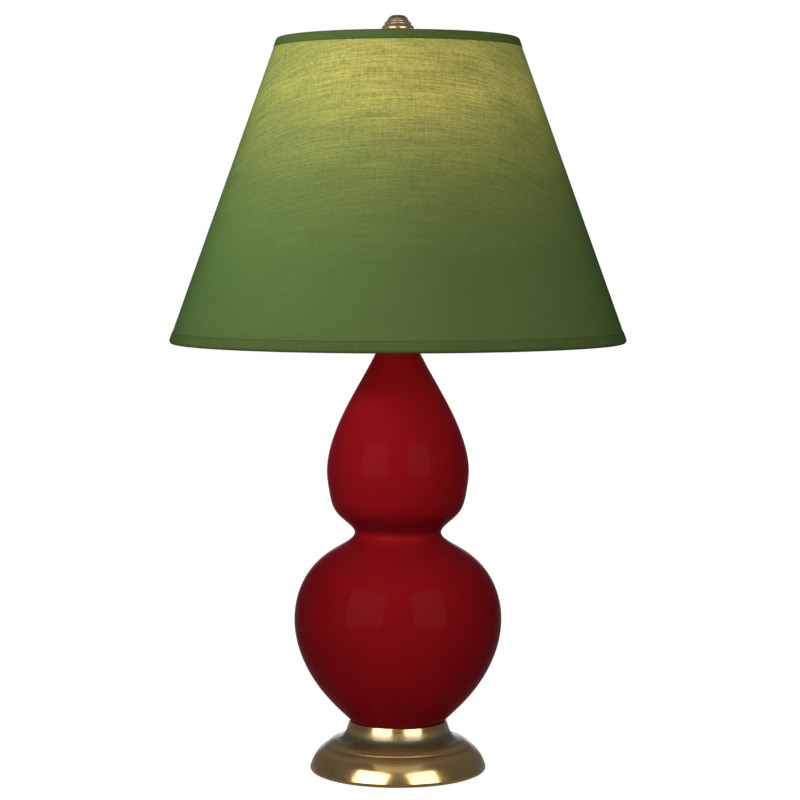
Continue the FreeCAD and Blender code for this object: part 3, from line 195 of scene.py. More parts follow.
def lay_floor():
    """A round white floor, brighter far off, so that its edge melts into the sweep."""
    radius, drop, grey = 6.0, 0.0002, 0.3
    near, far, near_glow, far_glow, side_level = 0.2, 1.2, 0.90, 1.0, 0.05
    bpy.ops.object.select_all(action="DESELECT")
    bpy.ops.mesh.primitive_circle_add(vertices=96, radius=radius, fill_type="NGON", location=(0, 0, -drop))
    floor = bpy.context.object
    floor.name = "floor"
    paint, shader = new_finish("floor_paint", (grey, grey, grey), 1.0)
    shader.inputs["Specular IOR Level"].default_value = 0.0
    shader.inputs["Emission Color"].default_value = (1, 1, 1, 1)
    place = add_node(paint, "TexCoord").outputs["Object"]
    away = add_node(paint, "VectorMath", {"operation": "LENGTH"}, Vector=place).outputs["Value"]
    glow = ease(paint, away, near, far, near_glow, far_glow)
    heading = add_node(paint, "VectorMath", {"operation": "NORMALIZE"}, Vector=place).outputs["Vector"]
    backward = add_node(paint, "SeparateXYZ", Vector=heading).outputs["Y"]
    seen, mirrored = seen_directly(paint)
    level = in_mirrors(paint, mirrored, backward, side_level, 1.0)
    strength = combine(paint, "MULTIPLY", combine(paint, "MULTIPLY", glow, seen), level)
    feed(paint, shader, Emission_Strength=strength)
    floor.data.materials.append(paint)


lay_floor()

# ---------------------------------------------------------------- brass foot
# A foot spun from one sheet of brass: curled rim, dome, lipped step, hollow cove and a collar with a bead.
# Its green-brown patina is rubbed back on the high places and lacquered. A cast iron weight lies inside it,
# and a moulded bushing for the cord is pressed into its back.


def grain(finish, scale, stretch=(1, 1, 1), detail=4.0, where="Object"):
    """Noise from 0 to 1 on the piece's own coordinates. Stretch squeezes it along each axis."""
    place = add_node(finish, "TexCoord").outputs[where]
    squeezed = add_node(finish, "Mapping", Vector=place, Scale=stretch).outputs[0]
    return add_node(finish, "TexNoise", Vector=squeezed, Scale=scale, Detail=detail).outputs["Fac"]


def spread(finish, value, low, high, start=0.35, end=0.65):
    """Stretches a value that runs from start to end so that it runs from low to high."""
    limits = {"From Min": start, "From Max": end, "To Min": low, "To Max": high}
    return add_node(finish, "MapRange", Value=value, **limits).outputs["Result"]


def mix_colours(finish, factor, first, second):
    """The second colour over the first, as far as the factor says. Each is a socket or a colour."""
    node = add_node(finish, "Mix", {"data_type": "RGBA"})
    finish.node_tree.links.new(factor, node.inputs[0])
    for socket, colour in zip((node.inputs[6], node.inputs[7]), (first, second)):
        if isinstance(colour, bpy.types.NodeSocket):
            finish.node_tree.links.new(colour, socket)
        else:
            socket.default_value = (*colour, 1.0)
    return node.outputs[2]


def stops(finish, value, places):
    """A ramp of grey levels. Places are (position, level) pairs."""
    ramp = add_node(finish, "ValToRGB", Fac=value)
    elements = ramp.color_ramp.elements
    while len(elements) < len(places):
        elements.new(0.5)
    for element, (position, level) in zip(elements, places):
        element.position = position
        element.color = (level, level, level, 1)
    return ramp.outputs["Color"]


def height_between(finish, low, high):
    """How far up a point of the piece lies between two heights, from 0 to 1."""
    place = add_node(finish, "TexCoord").outputs["Object"]
    upward = add_node(finish, "SeparateXYZ", Vector=place).outputs["Z"]
    return spread(finish, upward, 0.0, 1.0, low, high)


def heights(node):
    """The lowest and the highest z of a CAD node."""
    return (corner.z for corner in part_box(node))


def emboss(finish, shader, height, strength, depth):
    """Raises the surface by a pattern, depth metres at most."""
    bump = add_node(finish, "Bump", Height=height, Strength=strength, Distance=depth)
    feed(finish, shader, Normal=bump.outputs[0])


def dress(finish, *nodes):
    """Gives a finish to CAD nodes, through their objects, so that their meshes stay untouched."""
    for node in nodes:
        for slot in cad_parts[node].material_slots:
            slot.link = "OBJECT"
            slot.material = finish


def antique_brass(name, bright, patina, low, high, shaded):
    """Rubbed brass. Shaded gives where, between two heights, the patina was left in the hollows."""
    cloudiness, dulling, unevenness = 0.6, 0.25, 3.0
    finish, shader = new_finish(name, bright, 0.30, metallic=1.0)
    shader.inputs["Coat Weight"].default_value = 0.8
    shader.inputs["Coat Roughness"].default_value = 0.12
    hollow = stops(finish, height_between(finish, low, high), shaded)
    cloudy = spread(finish, grain(finish, 38, detail=5), 0.0, 0.35)
    left_over = combine(finish, "ADD", hollow, combine(finish, "MULTIPLY", cloudy, cloudiness))
    feed(finish, shader, Base_Color=mix_colours(finish, left_over, bright, patina))
    feed(finish, shader, Metallic=spread(finish, left_over, 1.0, 0.3, 0.0, 1.0))
    fine_lines = grain(finish, 60, stretch=(1, 1, 60), detail=3)
    duller = combine(finish, "MULTIPLY", left_over, dulling)
    feed(finish, shader, Roughness=combine(finish, "ADD", spread(finish, fine_lines, 0.13, 0.17), duller))
    rolled = combine(finish, "ADD", fine_lines, combine(finish, "MULTIPLY", grain(finish, 9), unevenness))
    emboss(finish, shader, rolled, strength=0.12, depth=0.00006)
    return finish


foot_low, foot_high = heights("base_shell")
foot_brass = antique_brass(
    "antique_brass",
    bright=(0.66, 0.425, 0.155),
    patina=(0.072, 0.063, 0.024),
    low=foot_low,
    high=foot_high,
    shaded=(
        (0.0, 0.2), (0.06, 0.0), (0.38, 0.0), (0.515, 0.8), (0.54, 0.0),
        (0.61, 0.7), (0.74, 1.0), (0.83, 0.55), (0.92, 0.0),
    ),
)
dress(foot_brass, "base_shell")

iron, iron_shader = new_finish("cast_iron", (0.045, 0.044, 0.046), 0.75, metallic=0.3)
sand = grain(iron, 420, detail=8)
skin_to_rust = mix_colours(iron, spread(iron, sand, 0, 1), (0.03, 0.03, 0.032), (0.10, 0.075, 0.06))
feed(iron, iron_shader, Base_Color=skin_to_rust)
emboss(iron, iron_shader, sand, strength=0.8, depth=0.0004)
dress(iron, "base_weight")

inlet_brown, inlet_shader = new_finish("brown_plastic", (0.030, 0.019, 0.013), 0.38)
pebble = grain(inlet_brown, 900, detail=2)
feed(inlet_brown, inlet_shader, Roughness=spread(inlet_brown, pebble, 0.32, 0.46))
emboss(inlet_brown, inlet_shader, pebble, strength=0.25, depth=0.00006)
dress(inlet_brown, "cord_bushing")

# ---------------------------------------------------------------- felt
# A disc punched from dark green wool felt and glued inside the foot's rim, so that the metal never touches
# the table. Its cut edge is a little rounded and its faces are uneven.


def make_felt():
    """A disc with a rounded edge, and with rings in both faces that carry the unevenness."""
    low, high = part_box("felt_pad")
    radius, thick = high.x, high.z - low.z
    rounding, rings, nap_size, nap_depth = 0.0005, 9, 0.006, 0.00012
    bpy.ops.object.select_all(action="DESELECT")
    bpy.ops.mesh.primitive_cylinder_add(
        vertices=144, radius=radius, depth=thick, location=(0, 0, (low.z + high.z) / 2), end_fill_type="NGON"
    )
    disc = bpy.context.object
    disc.name = "felt_disc"
    bpy.ops.object.transform_apply(location=True, rotation=True, scale=True)
    bpy.ops.object.mode_set(mode="EDIT")
    bpy.ops.mesh.select_mode(type="EDGE")
    bpy.ops.mesh.select_all(action="DESELECT")
    bpy.ops.object.mode_set(mode="OBJECT")
    for edge in disc.data.edges:
        ends = [disc.data.vertices[index].co for index in edge.vertices]
        edge.select = abs(ends[0].z - ends[1].z) < thick / 2
    bpy.ops.object.mode_set(mode="EDIT")
    bpy.ops.mesh.bevel(offset=rounding, segments=3)
    bpy.ops.mesh.select_mode(type="FACE")
    bpy.ops.mesh.select_all(action="DESELECT")
    bpy.ops.object.mode_set(mode="OBJECT")
    for face in disc.data.polygons:
        face.select = abs(face.normal.z) > 0.99 and face.area > radius * radius
    bpy.ops.object.mode_set(mode="EDIT")
    for _ in range(rings):
        bpy.ops.mesh.inset(thickness=radius / (rings + 2))
    bpy.ops.object.mode_set(mode="OBJECT")
    nap = bpy.data.textures.new("felt_nap", "CLOUDS")
    nap.noise_scale = nap_size
    uneven = disc.modifiers.new("uneven", "DISPLACE")
    uneven.texture = nap
    uneven.strength = nap_depth
    uneven.mid_level = 1.0
    bpy.ops.object.modifier_apply(modifier="uneven")
    bpy.ops.object.shade_smooth_by_angle(angle=math.radians(50))
    return disc


felt = make_felt()
wool, wool_shader = new_finish("felt", (0.03, 0.045, 0.03), 0.95)
matted = combine(wool, "ADD", grain(wool, 900, detail=6), grain(wool, 300, stretch=(1, 3, 1), detail=4))
wool_tone = spread(wool, matted, 0, 1, 0.8, 1.2)
feed(wool, wool_shader, Base_Color=mix_colours(wool, wool_tone, (0.018, 0.030, 0.020), (0.050, 0.072, 0.048)))
wool_shader.inputs["Sheen Weight"].default_value = 0.4
wool_shader.inputs["Sheen Roughness"].default_value = 0.6
emboss(wool, wool_shader, matted, strength=0.7, depth=0.0003)
felt.data.materials.append(wool)
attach(felt, "lamp")
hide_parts("felt_pad")

# ---------------------------------------------------------------- pipe, washer and nuts
# A threaded steel pipe runs from the weight to the lampholder and clamps the stack, with a washer and a nut
# below and a thin nut on the saddle. All are zinc plated, with a faint yellow cast.


def wave_scale(apart):
    """The scale that sets the bands of a wave texture this many metres apart."""
    return math.pi / (10 * apart)


def plated_steel(name, thread_pitch):
    """Zinc plate with small spangles, and a thread's rings pressed in where a pitch is given."""
    finish, shader = new_finish(name, (0.60, 0.60, 0.58), 0.34, metallic=1.0)
    spangle = grain(finish, 260, detail=3)
    feed(finish, shader, Base_Color=mix_colours(finish, spangle, (0.50, 0.50, 0.47), (0.70, 0.69, 0.65)))
    feed(finish, shader, Roughness=spread(finish, grain(finish, 90), 0.27, 0.44))
    if thread_pitch:
        upward, scale = {"bands_direction": "Z"}, wave_scale(thread_pitch)
        place = add_node(finish, "TexCoord").outputs["Object"]
        rings = add_node(finish, "TexWave", upward, Vector=place, Scale=scale)
        emboss(finish, shader, rings.outputs["Fac"], strength=0.9, depth=0.0004)
    else:
        emboss(finish, shader, spangle, strength=0.2, depth=0.00005)
    return finish


dress(plated_steel("threaded_steel", 0.00094), "lamp_pipe")
zinc = plated_steel("zinc_steel", None)
dress(zinc, "bottom_washer", "bottom_nut", "saddle_nut")

# ---------------------------------------------------------------- ceramic gourd
# A double gourd, slip cast and fired with a red glaze. Its red is deeper over the two round parts and
# lighter at the foot, the waist and the neck, partly where the glaze ran thin and partly as painted light.
# It is smooth, with a faint wave, and has a crimson bloom where it is seen at a slant.


def ruby_glaze():
    """Red glaze, lighter or deeper by height, the lighter parts partly painted light, and mottled."""
    thin_glaze_and_lit, deep = (0.395, 0.0080, 0.0100), (0.236, 0.0046, 0.0064)
    foot_to_waist = ((0.0, 0.0), (0.08, 0.1), (0.20, 0.45), (0.34, 0.58), (0.44, 0.45))
    waist_to_neck = ((0.487, 0.0), (0.56, 0.35), (0.70, 0.33), (0.86, 0.0))
    finish, shader = new_finish("red_glaze", (0.32, 0.0045, 0.0063), 0.42)
    up_the_gourd = height_between(finish, *heights("gourd_body"))
    # Lighter at the foot, the waist and the neck: thinner glaze there, and partly painted light.
    depth = stops(finish, up_the_gourd, foot_to_waist + waist_to_neck)
    mottled = spread(finish, grain(finish, 26, detail=5), -0.08, 0.08)
    feed(finish, shader, Base_Color=mix_colours(finish, combine(finish, "ADD", depth, mottled), thin_glaze_and_lit, deep))
    shader.inputs["Specular IOR Level"].default_value = 0.0
    shader.inputs["Coat Weight"].default_value = 1.0
    shader.inputs["Coat Roughness"].default_value = 0.04
    shader.inputs["Coat IOR"].default_value = 1.055
    shader.inputs["Coat Tint"].default_value = (0.70, 0.74, 0.86, 1)
    shader.inputs["Sheen Weight"].default_value = 0.3
    shader.inputs["Sheen Roughness"].default_value = 0.25
    shader.inputs["Sheen Tint"].default_value = (0.8, 0.05, 0.18, 1)
    pinholes = combine(finish, "MULTIPLY", grain(finish, 700), 0.02)
    wave = combine(finish, "ADD", grain(finish, 14, detail=2), pinholes)
    bump = add_node(finish, "Bump", Height=wave, Strength=0.15, Distance=0.0006)
    feed(finish, shader, Normal=bump.outputs[0], Coat_Normal=bump.outputs[0])
    return finish


dress(ruby_glaze(), "gourd_body")

# ---------------------------------------------------------------- gaskets, neck cap and spacer
# Black rubber rings keep the glaze off the metal. A spun brass cap closes the gourd's neck, and a turned
# brass spacer lifts the lampholder. Both have a patina, lighter than the foot's.

rubber, rubber_shader = new_finish("rubber", (0.014, 0.014, 0.014), 0.62)
dusty = grain(rubber, 500, detail=5)
feed(rubber, rubber_shader, Roughness=spread(rubber, dusty, 0.5, 0.8))
emboss(rubber, rubber_shader, dusty, strength=0.4, depth=0.0001)
dress(rubber, "foot_gasket", "neck_gasket")

neck_brass = antique_brass(
    "neck_brass",
    bright=(0.56, 0.43, 0.21),
    patina=(0.20, 0.17, 0.075),
    low=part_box("neck_cap")[0].z,
    high=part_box("neck_spacer")[1].z,
    shaded=(
        (0.0, 0.4), (0.06, 0.0), (0.28, 0.1), (0.33, 0.9),
        (0.40, 0.1), (0.62, 0.4), (0.9, 0.2), (1.0, 0.7),
    ),
)
dress(neck_brass, "neck_cap", "neck_spacer")

# ---------------------------------------------------------------- saddle, harp, sleeves and stud
# The harp is one brass wire flattened at its top, standing on the two tongues of a stamped saddle. A sleeve
# on each leg locks it. The stud, turned from brass, holds the shade. All are bright, with a little tarnish.


def bright_brass(name, roughness, stretch):
    """Polished brass. Stretch squeezes its fine marks along each axis, into lines or an even grain."""
    finish, shader = new_finish(name, (0.64, 0.47, 0.21), roughness, metallic=1.0)
    lines = grain(finish, 12, stretch=stretch, detail=3)
    tarnish = spread(finish, grain(finish, 55, detail=5), 0.0, 0.8, 0.45, 0.8)
    feed(finish, shader, Base_Color=mix_colours(finish, tarnish, (0.65, 0.48, 0.22), (0.42, 0.29, 0.12)))
    feed(finish, shader, Roughness=spread(finish, lines, roughness - 0.06, roughness + 0.1))
    emboss(finish, shader, lines, strength=0.25, depth=0.00006)
    return finish


even_grain, lines_across, lines_upright = (160, 160, 160), (1, 40, 40), (40, 40, 1)
wire_brass = bright_brass("wire_brass", 0.20, even_grain)
dress(wire_brass, "harp_frame", "harp_saddle", "sleeve_left", "sleeve_right")
turned_brass = bright_brass("turned_brass", 0.20, lines_across)
dress(turned_brass, "harp_stud")

# ---------------------------------------------------------------- lampholder
# A medium screw lampholder: a brass cap and shell, snapped together over a card liner, and a core of brown
# phenolic that carries the terminals, the contact and the threaded shell. A plated screw locks the cap.

dress(bright_brass("shell_brass", 0.30, lines_upright), "socket_cap", "socket_shell")
dress(turned_brass, "terminal_screws", "centre_contact", "thread_shell")
dress(zinc, "set_screw")

card, card_shader = new_finish("card", (0.30, 0.21, 0.12), 0.9)
fibres = grain(card, 160, stretch=(1, 1, 5), detail=6)
buff = mix_colours(card, spread(card, fibres, 0, 1), (0.24, 0.16, 0.09), (0.38, 0.28, 0.17))
feed(card, card_shader, Base_Color=buff)
emboss(card, card_shader, fibres, strength=0.4, depth=0.0002)
dress(card, "socket_liner")

phenolic, phenolic_shader = new_finish("phenolic", (0.035, 0.017, 0.010), 0.30)
swirl = grain(phenolic, 45, stretch=(1, 1, 2.5), detail=7)
flow = mix_colours(phenolic, spread(phenolic, swirl, 0, 1), (0.020, 0.010, 0.007), (0.060, 0.030, 0.018))
feed(phenolic, phenolic_shader, Base_Color=flow, Roughness=spread(phenolic, grain(phenolic, 300), 0.24, 0.40))
emboss(phenolic, phenolic_shader, swirl, strength=0.1, depth=0.0001)
dress(phenolic, "socket_core")

# ---------------------------------------------------------------- turn switch
# A moulded paddle key, rubbed paler by fingers. It sits on a plated steel shaft that comes out of the
# lampholder towards the front.

dress(zinc, "switch_shaft")

key_brown, key_shader = new_finish("key_plastic", (0.028, 0.017, 0.011), 0.3)
worn = spread(key_brown, grain(key_brown, 120, detail=5), 0.0, 1.0, 0.5, 0.75)
rubbed = mix_colours(key_brown, worn, (0.022, 0.013, 0.009), (0.050, 0.033, 0.023))
feed(key_brown, key_shader, Base_Color=rubbed, Roughness=spread(key_brown, worn, 0.24, 0.42, 0.0, 1.0))
emboss(key_brown, key_shader, grain(key_brown, 1500, detail=2), strength=0.15, depth=0.00005)
dress(key_brown, "switch_key")

# ---------------------------------------------------------------- bulb
# A 60 mm globe of frosted glass that glows all over, with a rolled aluminium cap, a black glass disc and a
# solder tip. A clear glass stem inside holds the filament.

frosted, frosted_shader = new_finish("frosted_glass", (0.50, 0.47, 0.41), 0.22)
frosting = grain(frosted, 1200, detail=3)
feed(frosted, frosted_shader, Roughness=spread(frosted, frosting, 0.16, 0.30))
frosted_shader.inputs["Emission Color"].default_value = (1.0, 0.73, 0.38, 1)
frosted_shader.inputs["Emission Strength"].default_value = 0.85
emboss(frosted, frosted_shader, frosting, strength=0.1, depth=0.00003)
dress(frosted, "bulb_glass")

aluminium, aluminium_shader = new_finish("bulb_aluminium", (0.77, 0.77, 0.78), 0.26, metallic=1.0)
scuffed = grain(aluminium, 200, stretch=(1, 1, 4), detail=4)
feed(aluminium, aluminium_shader, Roughness=spread(aluminium, scuffed, 0.20, 0.42))
emboss(aluminium, aluminium_shader, scuffed, strength=0.2, depth=0.00005)
dress(aluminium, "bulb_cap")

black_glass, black_shader = new_finish("black_glass", (0.012, 0.012, 0.014), 0.12)
pitted = grain(black_glass, 350, detail=3)
feed(black_glass, black_shader, Roughness=spread(black_glass, pitted, 0.08, 0.2))
emboss(black_glass, black_shader, pitted, strength=0.3, depth=0.0001)
dress(black_glass, "bulb_disc")

solder, solder_shader = new_finish("solder", (0.62, 0.62, 0.61), 0.38, metallic=1.0)
wrinkled = grain(solder, 320, detail=4)
feed(solder, solder_shader, Roughness=spread(solder, wrinkled, 0.3, 0.5))
emboss(solder, solder_shader, wrinkled, strength=0.6, depth=0.0002)
dress(solder, "bulb_tip")

stem_glass, stem_shader = new_finish("clear_glass", (0.93, 0.95, 0.95), 0.03)
stem_shader.inputs["Transmission Weight"].default_value = 1.0
drawn = grain(stem_glass, 60, stretch=(3, 3, 1), detail=2)
emboss(stem_glass, stem_shader, drawn, strength=0.2, depth=0.0002)
dress(stem_glass, "bulb_stem")

hot_wire, wire_shader = new_finish("hot_wire", (0.45, 0.43, 0.40), 0.4, metallic=1.0)
up_the_filament = height_between(hot_wire, *heights("bulb_filament"))
heat = stops(hot_wire, up_the_filament, ((0.0, 0.0), (0.8, 0.1), (0.97, 1.0)))
feed(hot_wire, wire_shader, Emission_Color=mix_colours(hot_wire, heat, (0.0, 0.0, 0.0), (1.0, 0.62, 0.25)))
wire_shader.inputs["Emission Strength"].default_value = 8.0
dress(hot_wire, "bulb_filament")

# ---------------------------------------------------------------- shade: liner, spider and bottom ring
# A stiff white styrene sheet is rolled into a cone and clamped by two wire rings. The top ring is welded to
# the three arms and the washer of the spider. The liner glows faintly, which stands for the bulb's light.

liner, liner_shader = new_finish("white_liner", (0.84, 0.82, 0.76), 0.42)
orange_peel = grain(liner, 240, detail=2)
feed(liner, liner_shader, Roughness=spread(liner, orange_peel, 0.36, 0.5))
ageing = spread(liner, grain(liner, 16, detail=5), 0.0, 1.0)
feed(liner, liner_shader, Base_Color=mix_colours(liner, ageing, (0.86, 0.84, 0.78), (0.79, 0.76, 0.68)))
up_the_liner = height_between(liner, *heights("shade_liner"))
liner_glow = stops(liner, up_the_liner, ((0.0, 0.10), (0.30, 0.16), (0.55, 0.34), (0.72, 0.45), (1.0, 0.40)))
dimmed = spread(liner, ageing, 1.0, 0.85, 0.0, 1.0)
feed(liner, liner_shader, Emission_Strength=combine(liner, "MULTIPLY", liner_glow, dimmed))
liner_shader.inputs["Emission Color"].default_value = (1.0, 0.84, 0.58, 1)
emboss(liner, liner_shader, orange_peel, strength=0.15, depth=0.0001)
dress(liner, "shade_liner")
dress(bright_brass("ring_brass", 0.24, even_grain), "shade_spider")
dress(zinc, "shade_bottom_ring")

# ---------------------------------------------------------------- shade: cloth
# Plain green cotton with slubs, cut as one fan-shaped sheet, stretched on the liner and lapped 10 mm at the
# back. The threads run straight in the flat sheet, so they droop to the sides on the cone. The bulb's light
# through the upper third is a painted glow, dimmer towards the sides, and there the slubs show.

# The cone that the faces of the tapes lie on, and half the thickness of the shade's finished edges.
shade_top_z = 0.5614
shade_top_radius = 0.0916
shade_bottom_radius = 0.1746
shade_height = 0.2304
rim_half = 0.00245
shade_lap = 0.010
shade_slope = (shade_bottom_radius - shade_top_radius) / shade_height
shade_lean = math.sqrt(1 + shade_slope ** 2)
shade_slant = shade_height * shade_lean
apex_gap = shade_top_radius * shade_lean / shade_slope
fan_share = shade_slope / shade_lean


def on_shade(along, inward, turn):
    """A point so far down the slope, so deep under the tape's face and so far round from the front."""
    radius = shade_top_radius + (along * shade_slope - inward) / shade_lean
    height = shade_top_z - (along + inward * shade_slope) / shade_lean
    return (radius * math.sin(turn), -radius * math.cos(turn), height)


def mesh_piece(name, points, faces, spots):
    """A new piece from points and faces, with one flat place per point as its UV map."""
    mesh = bpy.data.meshes.new(name)
    mesh.from_pydata(points, [], faces)
    flat_map = mesh.uv_layers.new(name="cut")
    for loop in mesh.loops:
        flat_map.data[loop.index].uv = spots[loop.vertex_index]
    piece = bpy.data.objects.new(name, mesh)
    bpy.context.scene.collection.objects.link(piece)
    bpy.ops.object.select_all(action="DESELECT")
    piece.select_set(True)
    bpy.context.view_layer.objects.active = piece
    return piece


def climbed(to_end, climb):
    """How far a sheet has climbed on its own beginning, from 0 to 1, so many metres before its end."""
    rise = min(1.0, max(0.0, (shade_lap + climb - to_end) / climb))
    return rise * rise * (3 - 2 * rise)


def make_cloth():
    """One sheet wound round the cone, its far end climbing over its near end at the back."""
    around, down = 264, 30
    thick, under_depth, over_depth, climb = 0.00030, 0.00036, 0.00005, 0.012
    points, spots, faces = [], [], []
    for row in range(down + 1):
        along = rim_half + (shade_slant - 2 * rim_half) * row / down
        radius = shade_top_radius + along * shade_slope / shade_lean
        half_lap = shade_lap / radius / 2
        near, far = -math.pi - half_lap, math.pi + half_lap
        for column in range(around + 1):
            share = column / around
            turn = near + (far - near) * share
            to_end = (far - turn) * radius
            inward = under_depth + (over_depth - under_depth) * climbed(to_end, climb)
            points.append(on_shade(along, inward, turn))
            reach, fan = apex_gap + along, turn * fan_share
            spots.append((reach * math.sin(fan), -reach * math.cos(fan)))
    for row in range(down):
        for column in range(around):
            corner = row * (around + 1) + column
            faces.append((corner, corner + around + 1, corner + around + 2, corner + 1))
    cloth = mesh_piece("cloth_cover", points, faces, spots)
    skin = cloth.modifiers.new("thickness", "SOLIDIFY")
    skin.thickness = thick
    skin.offset = -1.0
    bpy.ops.object.modifier_apply(modifier="thickness")
    bpy.ops.object.shade_smooth_by_angle(angle=math.radians(40))
    return cloth


def weave(finish):
    """Threads both ways in the flat sheet, half a millimetre apart and a little crooked, from 0 to 1."""
    scale, crooked = wave_scale(0.0005), {"Distortion": 0.6, "Detail": 2.0, "Detail Scale": 0.6}
    cut = add_node(finish, "TexCoord").outputs["UV"]
    threads = []
    for direction in ("X", "Y"):
        wave = add_node(finish, "TexWave", {"bands_direction": direction}, Vector=cut, Scale=scale, **crooked)
        threads.append(wave.outputs["Fac"])
    return combine(finish, "MAXIMUM", *threads)


def slubs(finish):
    """Uneven threads: long ones across, which show most, and shorter ones down, from 0 to 1."""
    long_ones = grain(finish, 1.0, stretch=(30, 640, 1), detail=3, where="UV")
    short_ones = grain(finish, 1.0, stretch=(260, 900, 1), detail=2, where="UV")
    upright = grain(finish, 1.0, stretch=(900, 50, 1), detail=2, where="UV")
    total = 0.0
    for threads, share in ((long_ones, 0.42), (short_ones, 0.38), (upright, 0.20)):
        total = combine(finish, "ADD", combine(finish, "MULTIPLY", threads, share), total)
    return total


def deepen_at_a_slant(shader):
    """A clear coat without gloss, tinted, so that the threads look darker the flatter they are seen."""
    shader.inputs["Coat Weight"].default_value = 1.0
    shader.inputs["Coat Roughness"].default_value = 0.8
    shader.inputs["Coat IOR"].default_value = 1.01
    shader.inputs["Coat Tint"].default_value = (0.85, 0.885, 0.885, 1)


def green_cotton():
    """Green cloth. A painted glow for the bulb's light through it, dimmer to the sides, shows its slubs."""
    glow_aside, side_glow, weave_share = 0.25, 0.56, 0.35
    glow_low, glow_high, glow_colour = 0.393, 0.557, (0.425, 0.302, 0.069)
    rising = ((0.0, 0.0), (0.19, 0.07), (0.37, 0.19), (0.48, 0.40), (0.56, 0.51), (0.65, 0.70), (0.74, 1.0))
    falling = ((0.83, 1.0), (1.0, 0.93))
    finish, shader = new_finish("green_cloth", (0.0887, 0.1384, 0.0382), 0.88)
    uneven = slubs(finish)
    tone = spread(finish, uneven, 0, 1, 0.36, 0.64)
    feed(finish, shader, Base_Color=mix_colours(finish, tone, (0.077, 0.116, 0.0295), (0.092, 0.140, 0.0355)))
    # Painted glow: emission by height for the bulb's light through the cloth, dimmer towards the sides.
    lit = stops(finish, height_between(finish, glow_low, glow_high), rising + falling)
    place = add_node(finish, "TexCoord").outputs["Object"]
    level = add_node(finish, "Mapping", Vector=place, Scale=(1, 1, 0)).outputs[0]
    around = add_node(finish, "VectorMath", {"operation": "NORMALIZE"}, Vector=level)
    sideways = add_node(finish, "SeparateXYZ", Vector=around.outputs[0]).outputs["X"]
    from_glow = combine(finish, "ADD", sideways, glow_aside)
    glow_dimmed_aside = spread(finish, combine(finish, "MULTIPLY", from_glow, from_glow), 1.0, side_glow, 0.0, 1.0)
    threads = spread(finish, uneven, 0.42, 1.58, 0.36, 0.64)
    cloudy = spread(finish, grain(finish, 1.0, stretch=(14, 40, 1), detail=4, where="UV"), 0.86, 1.12)
    patchy = combine(finish, "MULTIPLY", threads, cloudy)
    through = combine(finish, "MULTIPLY", combine(finish, "MULTIPLY", lit, glow_dimmed_aside), patchy)
    feed(finish, shader, Emission_Strength=through)
    shader.inputs["Emission Color"].default_value = (*glow_colour, 1)
    shader.inputs["Specular IOR Level"].default_value = 0.1
    deepen_at_a_slant(shader)
    relief = combine(finish, "ADD", combine(finish, "MULTIPLY", weave(finish), weave_share), uneven)
    emboss(finish, shader, relief, strength=0.5, depth=0.0003)
    return finish


cloth = make_cloth()
cotton = green_cotton()
cloth.data.materials.append(cotton)
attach(cloth, "shade")
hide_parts("shade_fabric")

# ---------------------------------------------------------------- shade: tapes
# A strip of the same cloth is folded over each edge of the shade and glued inside and out. Each starts and
# ends at the back, where its last 10 mm lie over its beginning. The top one is slotted for the spider's arms.


def tape_section(outside, inside, thick, lift):
    """A tape's closed section, lifted off the shade, as (along, inward, across), and its flat width."""
    outer_steps, fold_steps, inner_steps = 6, 12, 5
    pressed_end, pressed_back = 0.6, 0.98
    middle = rim_half - thick / 2 + lift
    line = []
    for step in range(outer_steps + 1):
        along = outside + (rim_half - outside) * step / outer_steps
        line.append((along, rim_half - middle, 0.0, -1.0))
    for step in range(1, fold_steps):
        bend = math.pi * step / fold_steps
        sine, cosine = math.sin(bend), math.cos(bend)
        line.append((rim_half - middle * sine, rim_half - middle * cosine, -sine, -cosine))
    for step in range(inner_steps + 1):
        along = rim_half + (inside - rim_half) * step / inner_steps
        line.append((along, rim_half + middle, 0.0, 1.0))
    half = thick / 2
    back = half * pressed_back
    places, travelled = [], 0.0
    for index, spot in enumerate(line):
        if index:
            travelled += math.dist(spot[:2], line[index - 1][:2])
        reach = half
        if index in (0, len(line) - 1):
            reach = half * pressed_end
        places.append((spot, reach, travelled))
    upper = [(a + n * r, i + m * r, t) for (a, i, n, m), r, t in places]
    lower = [(a - n * back, i - m * back, t) for (a, i, n, m), r, t in reversed(places)]
    return upper + lower, travelled


def make_tape(name, at_top):
    """Sweeps the section round the cone from its start to past its start again."""
    around, outside, inside, thick, glue, climb = 252, 0.0082, 0.0070, 0.00026, 0.00002, 0.006
    edge_radius = shade_top_radius if at_top else shade_bottom_radius
    total = 2 * math.pi + shade_lap / edge_radius
    points, spots, faces = [], [], []
    for column in range(around + 1):
        turn = -math.pi + total * column / around
        to_end = (total - (turn + math.pi)) * edge_radius
        lift = (thick + glue) * climbed(to_end, climb)
        section, width = tape_section(outside, inside, thick, lift)
        for along, inward, across in section:
            place = along if at_top else shade_slant - along
            points.append(on_shade(place, inward, turn))
            spots.append((turn * edge_radius, across))
    count = len(section)
    for column in range(around):
        for index in range(count):
            following = (index + 1) % count
            first, second = column * count + index, column * count + following
            quad = (first, second, second + count, first + count)
            faces.append(quad if at_top else quad[::-1])
    start_cap, end_cap = list(range(count)), [around * count + index for index in range(count)]
    faces.append(start_cap[::-1] if at_top else start_cap)
    faces.append(end_cap if at_top else end_cap[::-1])
    tape = mesh_piece(name, points, faces, spots)
    bpy.ops.object.mode_set(mode="EDIT")
    bpy.ops.mesh.select_all(action="SELECT")
    bpy.ops.mesh.normals_make_consistent(inside=False)
    bpy.ops.object.mode_set(mode="OBJECT")
    return tape, width, total * edge_radius


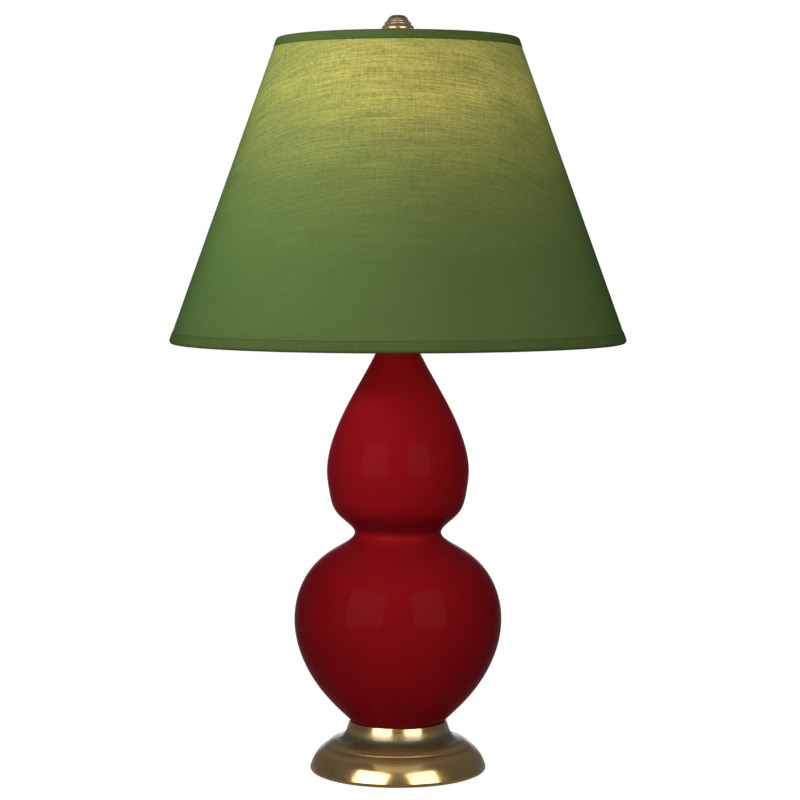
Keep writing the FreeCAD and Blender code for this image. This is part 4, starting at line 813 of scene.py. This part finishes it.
def cut_round_arms(tape):
    """Three slots in the tape's inner flap, where the spider's arms come through."""
    half_washer, arm_start, slot_radius = 0.00095, 0.010, 0.0017
    ring_radius, ring_z = 0.08946, 0.55804
    hub_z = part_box("finial")[0].z - half_washer
    for turn in (0, 120, 240):
        spin = math.radians(turn)
        start = Vector((-arm_start * math.sin(spin), arm_start * math.cos(spin), hub_z))
        end = Vector((-ring_radius * math.sin(spin), ring_radius * math.cos(spin), ring_z))
        bpy.ops.object.select_all(action="DESELECT")
        bpy.ops.mesh.primitive_cylinder_add(
            vertices=24,
            radius=slot_radius,
            depth=(end - start).length,
            location=(start + end) / 2,
            rotation=(end - start).to_track_quat("Z", "Y").to_euler(),
        )
        cutter = bpy.context.object
        slot_cut = tape.modifiers.new("arm_slot", "BOOLEAN")
        slot_cut.operation = "DIFFERENCE"
        slot_cut.object = cutter
        bpy.ops.object.select_all(action="DESELECT")
        tape.select_set(True)
        bpy.context.view_layer.objects.active = tape
        bpy.ops.object.modifier_apply(modifier="arm_slot")
        bpy.data.objects.remove(cutter)


def trim_cotton():
    """The cover's cloth, doubled, so no light comes through. Its free edges carry a painted shadow line."""
    strip_width, edge_shadow_share = 0.018, 0.7
    edge_shadow_stops = ((0.0, 0.6), (0.04, 0.35), (0.07, 0.0), (0.95, 0.0), (1.0, 0.6))
    finish, shader = new_finish("trim_cloth", (0.078, 0.122, 0.034), 0.9)
    across = add_node(finish, "SeparateXYZ", Vector=add_node(finish, "TexCoord").outputs["UV"]).outputs["Y"]
    # A painted shadow line along both free edges of the strip.
    edge = stops(finish, spread(finish, across, 0, 1, 0.0, strip_width), edge_shadow_stops)
    threads = spread(finish, slubs(finish), 0.0, 0.5, 0.38, 0.62)
    tone = combine(finish, "ADD", combine(finish, "MULTIPLY", edge, edge_shadow_share), threads)
    feed(finish, shader, Base_Color=mix_colours(finish, tone, (0.083, 0.123, 0.029), (0.043, 0.068, 0.017)))
    shader.inputs["Specular IOR Level"].default_value = 0.1
    deepen_at_a_slant(shader)
    emboss(finish, shader, weave(finish), strength=0.5, depth=0.0002)
    return finish


trim = trim_cotton()
for tape_name, node, at_top in (
    ("top_trim", "shade_top_tape", True),
    ("bottom_trim", "shade_bottom_tape", False),
):
    tape, tape_width, tape_length = make_tape(tape_name, at_top)
    if at_top:
        cut_round_arms(tape)
    bpy.ops.object.shade_smooth_by_angle(angle=math.radians(40))
    tape.data.materials.append(trim)
    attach(tape, "shade")
    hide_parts(node)

# ---------------------------------------------------------------- finial
# A knob turned from brass: a waisted stem under three stepped tiers. It is browner than the foot, with the
# patina left in the steps, and it screws on the stud to hold the shade.

finial_low, finial_high = heights("finial")
finial_brass = antique_brass(
    "finial_brass",
    bright=(0.455, 0.31, 0.165),
    patina=(0.155, 0.095, 0.052),
    low=finial_low,
    high=finial_high,
    shaded=(
        (0.0, 0.6), (0.15, 0.2), (0.50, 0.8), (0.62, 0.15),
        (0.70, 0.85), (0.78, 0.1), (0.84, 0.8), (0.92, 0.0),
    ),
)
dress(finial_brass, "finial")
